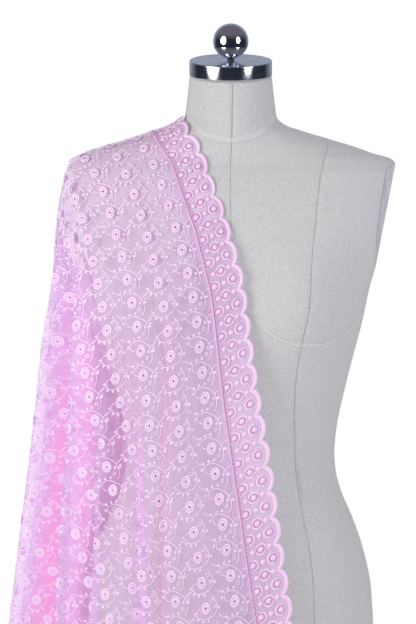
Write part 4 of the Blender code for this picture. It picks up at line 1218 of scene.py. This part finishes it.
def knot(at, radius, lift, length=1.0, lean=0.0):
    """A berry or leaf: eight points on a leaning ellipse round a raised middle."""
    turn = np.radians(np.arange(8) * 45.0)
    a, b = radius * np.cos(turn), radius * length * np.sin(turn)
    cos, sin = math.cos(math.radians(lean)), math.sin(math.radians(lean))
    ring = np.stack([at[0] + a * cos - b * sin, at[1] + a * sin + b * cos,
                     np.full(8, lift * 0.25)], axis=1)
    middle = np.array([at[0], at[1], lift])
    return np.array([[ring[0], ring[1], ring[2]], [ring[7], middle, ring[3]],
                     [ring[6], ring[5], ring[4]]])


def millimetres(*points):
    """Points charted in millimetres, in metres."""
    return np.array(points, dtype=float) / 1000


def tendril(*points):
    """A thin stroke through points in millimetres."""
    return running_stroke(smooth_path(millimetres(*points), 5), 0.00045, 0.0003)


def berries(*rows):
    """Knots from rows of a, b, radius and lift in millimetres; a leaf has length and lean."""
    return [knot(millimetres(a, b), radius / 1000, lift / 1000, *leaf)
            for a, b, radius, lift, *leaf in rows]


rings = [satin_stroke(arc((0, 0), OUTER_RING, 0, 360, 17), 0.00102, 0.0011),
         satin_stroke(arc((0, 0), INNER_RING, 0, 360, 12), 0.00105, 0.0010)]
stem_over = smooth_path(millimetres((7, -2), (12, -7), (11.5, -13), (4, -14), (-5, -8.5),
                                    (-12, 0), (-14, 9), (-13, 16), (-9, 19.5)), 20)
stem_under = smooth_path(millimetres((6, -2), (11, -1.2), (12.5, 4), (11, 8), (6, 11.3),
                                     (0, 12), (-7, 11.3), (-13, 7), (-14.5, 0),
                                     (-12.5, -7), (-10, -12.5)), 20)
motif_over = [
    *rings, running_stroke(stem_over, STEM_HALF, 0.0004),
    *berries((15.0, -10.0, 1.7, 0.9), (12.5, -16.3, 1.8, 1.0), (5.8, -16.8, 1.7, 0.9),
             (-1.2, -15.8, 1.7, 0.9), (-10.0, 5.0, 1.4, 0.9, 1.5, 20),
             (-16.0, 6.5, 1.6, 0.9, 1.3, 60)),
    running_stroke(arc((-0.0075, 0.0112), 0.0019, 200, -150, 8), 0.0005, 0.0005),
    tendril((12.5, -16.3), (17, -18), (22, -23.5)), tendril((-12.8, 2), (-15.5, -1.5), (-20.5, -1.5))]
motif_under = [
    *rings, running_stroke(stem_under, STEM_HALF, 0.0004),
    satin_stroke(stem_under[-7:], 0.0007, 0.0006),
    *berries((14.8, 1.5, 1.7, 0.9), (12.2, 9.5, 1.8, 1.0), (6.0, 13.7, 1.7, 0.9),
             (-1.0, 15.0, 1.7, 0.9), (-11.4, 2.0, 1.4, 0.9, 1.5, -20),
             (-16.8, 4.5, 1.6, 0.9, 1.3, 30)),
    running_stroke(arc((-0.0086, -0.0060), 0.0020, -200, 150, 8), 0.0005, 0.0005),
    tendril((12.5, 5), (17.5, 5.2), (21.5, 9)), *berries((20.0, 12.0, 1.5, 0.8))]


def repeated(strokes, across, numbers):
    """Copies of strokes at repeat numbers: points (across, number, lift) and faces."""
    points = np.concatenate([stroke.reshape(-1, 3) for stroke in strokes])
    copies = np.repeat(points[None], len(numbers), axis=0)
    copies[:, :, 0] += np.reshape(across, (-1, 1))
    copies[:, :, 1] = copies[:, :, 1] / REPEAT_DRAWN + np.reshape(numbers, (-1, 1))
    starts = np.arange(len(numbers)) * len(points)
    quads = joined_faces(strokes)[None] + starts[:, None, None]
    return copies.reshape(-1, 3), quads.reshape(-1, 4)


def merged(parts):
    """One set of points and faces from several."""
    starts = np.cumsum([0] + [len(points) for points, _ in parts])
    return (np.concatenate([points for points, _ in parts]),
            np.concatenate([quads + start for (_, quads), start in zip(parts, starts)]))


def put_on_cloth(name, flat_points, quads, material, base_lift=STITCH_LIFT):
    """Lays (across, repeat number, lift) on the drape: surface plus normal times lift."""
    across, number, lift = flat_points.T
    v = -repeat_run(number)
    v = np.clip(np.where(np.abs(v) < OFF_RIDGE, -OFF_RIDGE, v), -HALF_LENGTH, HALF_LENGTH)
    u = np.clip(eased(np.clip(across, 0.0, CLOTH_WIDTH), v), 0.0, CLOTH_WIDTH)
    normal = cloth_normals(u, v)
    by_the_ridge = 1 - smooth_step(*FLAT_RIDGE, np.abs(v))
    relief = 1 - FLATTER * np.maximum(smooth_step(*FLAT_SIDE, across), by_the_ridge)
    points = drape(u, v) + normal * (lift * relief + base_lift)[:, None]
    corner = points[quads]
    facing = np.cross(corner[:, 1] - corner[:, 0], corner[:, 3] - corner[:, 0])
    if np.einsum("ij,ij->i", facing, normal[quads[:, 0]]).sum() < 0:
        quads = quads[:, ::-1]
    return put_mesh(name, points, quads, material, uv=np.stack([across, v], axis=-1))


satin, satin_shader, satin_nodes = principled(
    "satin_thread", Roughness=0.45, Sheen_Weight=0.25, Sheen_Roughness=0.35)
satin_places = cloth_places(satin_nodes)
stitches = noise_at(satin_places, 1.0, (1500.0, 700.0, 1.0), 2.0)
# Past FLAT_SIDE the thread is painted a dimmer pink: painted shade on the side folds.
satin_side = satin_places.part(0).clamped(*FLAT_SIDE)
satin_color = stitches.clamped(0.30, 0.66).mix((0.84, 0.58, 0.85, 1), (1.0, 0.81, 1.0, 1))
feed(satin_shader, Base_Color=satin_side.mix(satin_color, (0.87, 0.66, 0.90, 1)),
     Normal=bump_over(stitches, 0.0004, 0.5), Alpha=1 - casting(satin_nodes) * satin_side * 0.85)
# The eyelets' holes are opaque discs painted dark: painted shade where the hole looks through to the
# form, pinker on the side folds, where cloth lies behind.
eyelet, eyelet_shader, eyelet_nodes = principled("eyelet_shadow", Roughness=0.9)
eyelet_side = cloth_places(eyelet_nodes).part(0).clamped(0.13, 0.30) * 0.8
feed(eyelet_shader, Base_Color=eyelet_side.mix((0.20, 0.05, 0.14, 1), (0.80, 0.46, 0.72, 1)))
# Discs of deeper pink under each roundel show in the gaps between its rings: painted shade in those
# grooves.
roundel_groove_shade = plain("roundel_groove_shade", (0.77, 0.44, 0.75, 1), 0.8)

columns = np.arange(COLUMN_FIRST, CLOTH_WIDTH - HEM_MARGIN, COLUMN_STEP)
last_repeat = int(HALF_LENGTH / MEAN_REPEAT)
column_number, row_number = (grid.ravel() for grid in np.meshgrid(
    np.arange(len(columns)), np.arange(-last_repeat, last_repeat)))
row_number = row_number + np.array(COLUMN_SHIFTS)[column_number % len(COLUMN_SHIFTS)]
for label, side in SIDES:
    here = row_number * -side > 0
    odd = column_number % 2 == 1
    motifs = [repeated(strokes, columns[column_number[chosen]], row_number[chosen])
              for strokes, chosen in ((motif_over, here & ~odd), (motif_under, here & odd))]
    hole_shades, grooves = (repeated([spot], columns[column_number[here]], row_number[here])
                      for spot in (knot((0, 0), 0.00088, 0.0003, 1.5, 25),
                                   knot((0, 0), 0.0043, 0.0002, 1.18)))
    work = put_on_cloth(f"embroidery_{label}", *merged(motifs), satin)
    eyelet_shades = put_on_cloth(f"eyelets_{label}", *hole_shades, eyelet, 2 * STITCH_LIFT)
    shade = put_on_cloth(f"roundel_groove_shade_{label}", *grooves, roundel_groove_shade)
    for piece in (work, eyelet_shades, shade):
        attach(piece, "root")

# ---------------------------------------------------------------------- scalloped border
# A strip of lace on the same ground, satin-stitched along its scalloped edge, with knots
# and crescents in it. A picot ladder joins it to the panel's turned edge.
SCALLOP_DEPTH = 0.0074
SCALLOP_BOW = 0.90            # 1 would make each scallop a half circle
SCALLOP_FULL = 0.684          # an arc's fall at a valley for that bow
EDGE_BAND = 0.0021            # half width of the satin band along the scallops
SCALLOP_ROWS = 12
GROUND_COLUMNS = 9
TURNED_EDGE = (0.0004, 0.0050)       # the panel's turned edge, past the border
TURNED_LIFT = 0.0006
CORD_PLACE = 0.0434
SEAM_PLACE = 0.0412
PICOT_PLACE = 0.0400
PICOT_SWING = 0.0010
BUTTON_RINGS = ((0.0, 1.0), (0.78, 0.9), (1.0, 0.15))     # shares of radius and of lift
ROUND_POINTS = 13
CRESCENT_HALF = 0.00125
CRESCENT_LIFT = 0.0012


def scallop_edge(number):
    """Inset of the border's outer edge: circular arcs that meet in valleys."""
    offset = 2 * (number - np.floor(number)) - 1
    rise = 1 - np.sqrt(np.clip(1 - SCALLOP_BOW * offset ** 2, 0, 1))
    return SCALLOP_DEPTH * rise / SCALLOP_FULL


def button(across, radius, lift):
    """A round padded knot: rings of points from its middle out."""
    return np.stack([
        np.column_stack([arc((across, 0), max(radius * share, 1e-6), 360, 0, ROUND_POINTS),
                         np.full(ROUND_POINTS, lift * rise)]) for share, rise in BUTTON_RINGS])


def crescent(across, radius, start, stop):
    """A padded arc that thins to its tips."""
    taper = np.sin(np.linspace(0.3, math.pi - 0.3, ROUND_POINTS)) ** 0.4
    path = arc((across, 0), radius, start, stop, ROUND_POINTS)
    return satin_stroke(path, CRESCENT_HALF * taper, CRESCENT_LIFT)


lace_satin, lace_satin_shader, lace_satin_nodes = principled(
    "lace_satin", Roughness=0.42, Sheen_Weight=0.25, Sheen_Roughness=0.35)
lace_stitches = noise_at(cloth_places(lace_satin_nodes), 1.0, (700.0, 1500.0, 1.0), 2.0)
feed(lace_satin_shader, Base_Color=lace_stitches.clamped(0.30, 0.66).mix(
    (0.82, 0.50, 0.80, 1), (0.98, 0.71, 0.96, 1)))
lace_ground, lace_shader, lace_nodes = principled("lace_ground", Roughness=0.6, Sheen_Weight=0.3)
lace_crepe = crepe_of(cloth_places(lace_nodes))
feed(lace_shader,
     Base_Color=lace_crepe.clamped(0.3, 0.7).mix((0.90, 0.57, 0.92, 1), (0.97, 0.65, 1.0, 1)),
     Alpha=(lace_crepe * 0.24 + 0.33) * (1 - casting(lace_nodes) * 0.75))
lace_shade = plain("lace_shade", (0.50, 0.22, 0.47, 1), 0.8)
seam_pink = plain("seam_pink", (0.60, 0.26, 0.54, 1), 0.7)

scallops = last_repeat + 1
centre_strokes = [
    button(0.0362, 0.0034, 0.0013), button(0.0242, 0.0031, 0.0012), button(0.0122, 0.0034, 0.0013),
    crescent(0.0358, 0.0057, 72, 288), crescent(0.0128, 0.0058, -108, 108)]
valley_strokes = [
    button(0.0346, 0.0030, 0.0012), button(0.0246, 0.0034, 0.0012), button(0.0148, 0.0030, 0.0012),
    crescent(0.0246, 0.0060, 8, 172), crescent(0.0246, 0.0060, 188, 352)]
number = np.linspace(0.004, scallops, scallops * SCALLOP_ROWS + 1)
number = number[repeat_run(number) <= HALF_LENGTH]
run = repeat_run(number)[:, None]
inset = scallop_edge(number)[:, None]
lace_across = inset + (BORDER_WIDTH - inset) * np.linspace(0, 1, GROUND_COLUMNS)
edge_across = np.broadcast_to(BORDER_WIDTH + np.linspace(*TURNED_EDGE, 4), (len(run), 4))
middles, valleys = (places[repeat_run(places) < HALF_LENGTH - HEM_MARGIN]
                    for places in (np.arange(scallops) + 0.5, np.arange(1.0, scallops)))
for label, side in SIDES:
    v = side * np.broadcast_to(run, lace_across.shape)
    ground = cloth_sheet(f"border_ground_{label}", side, drape(eased(lace_across, v), v),
                         (lace_across, v), lace_ground)
    v = side * np.broadcast_to(run, edge_across.shape)
    u = eased(edge_across, v)
    turned_edge = cloth_sheet(f"turned_edge_{label}", side,
                              drape(u, v) + cloth_normals(u, v) * TURNED_LIFT, (u, v), georgette)
    down = -side * number * REPEAT_DRAWN
    fine = np.linspace(down[0], down[-1], len(down) * 2)
    swing = np.where(np.arange(len(fine)) % 4 < 2, PICOT_SWING, -PICOT_SWING)
    band = satin_stroke(np.column_stack([scallop_edge(number) + EDGE_BAND * 0.92, down]),
                        EDGE_BAND, 0.0013)
    cord = satin_stroke(np.column_stack([np.full_like(down, CORD_PLACE), down]), 0.0007, 0.0013)
    picot = running_stroke(np.column_stack([PICOT_PLACE + swing, fine]), 0.00038, 0.0009)
    seam_line = running_stroke(np.column_stack([np.full_like(down, SEAM_PLACE), down]),
                               0.0011, 0.0004)
    knots = merged([repeated(centre_strokes, 0.0, middles * -side),
                    repeated(valley_strokes, 0.0, valleys * -side)]
                   + [repeated([strip], 0.0, [0.0]) for strip in (band, cord, picot)])
    shades = merged([repeated([knot((spot, 0), 0.0044, 0.0002)], 0.0, places * -side)
                     for spot, places in ((0.0360, middles), (0.0124, middles), (0.0246, valleys))])
    knots = put_on_cloth(f"border_satin_{label}", *knots, lace_satin)
    line = put_on_cloth(f"border_seam_{label}", *repeated([seam_line], 0.0, [0.0]), seam_pink)
    shade = put_on_cloth(f"border_shade_{label}", *shades, lace_shade)
    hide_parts(f"border_{label}")
    for piece in (ground, knots, line, shade, turned_edge):
        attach(piece, "root")
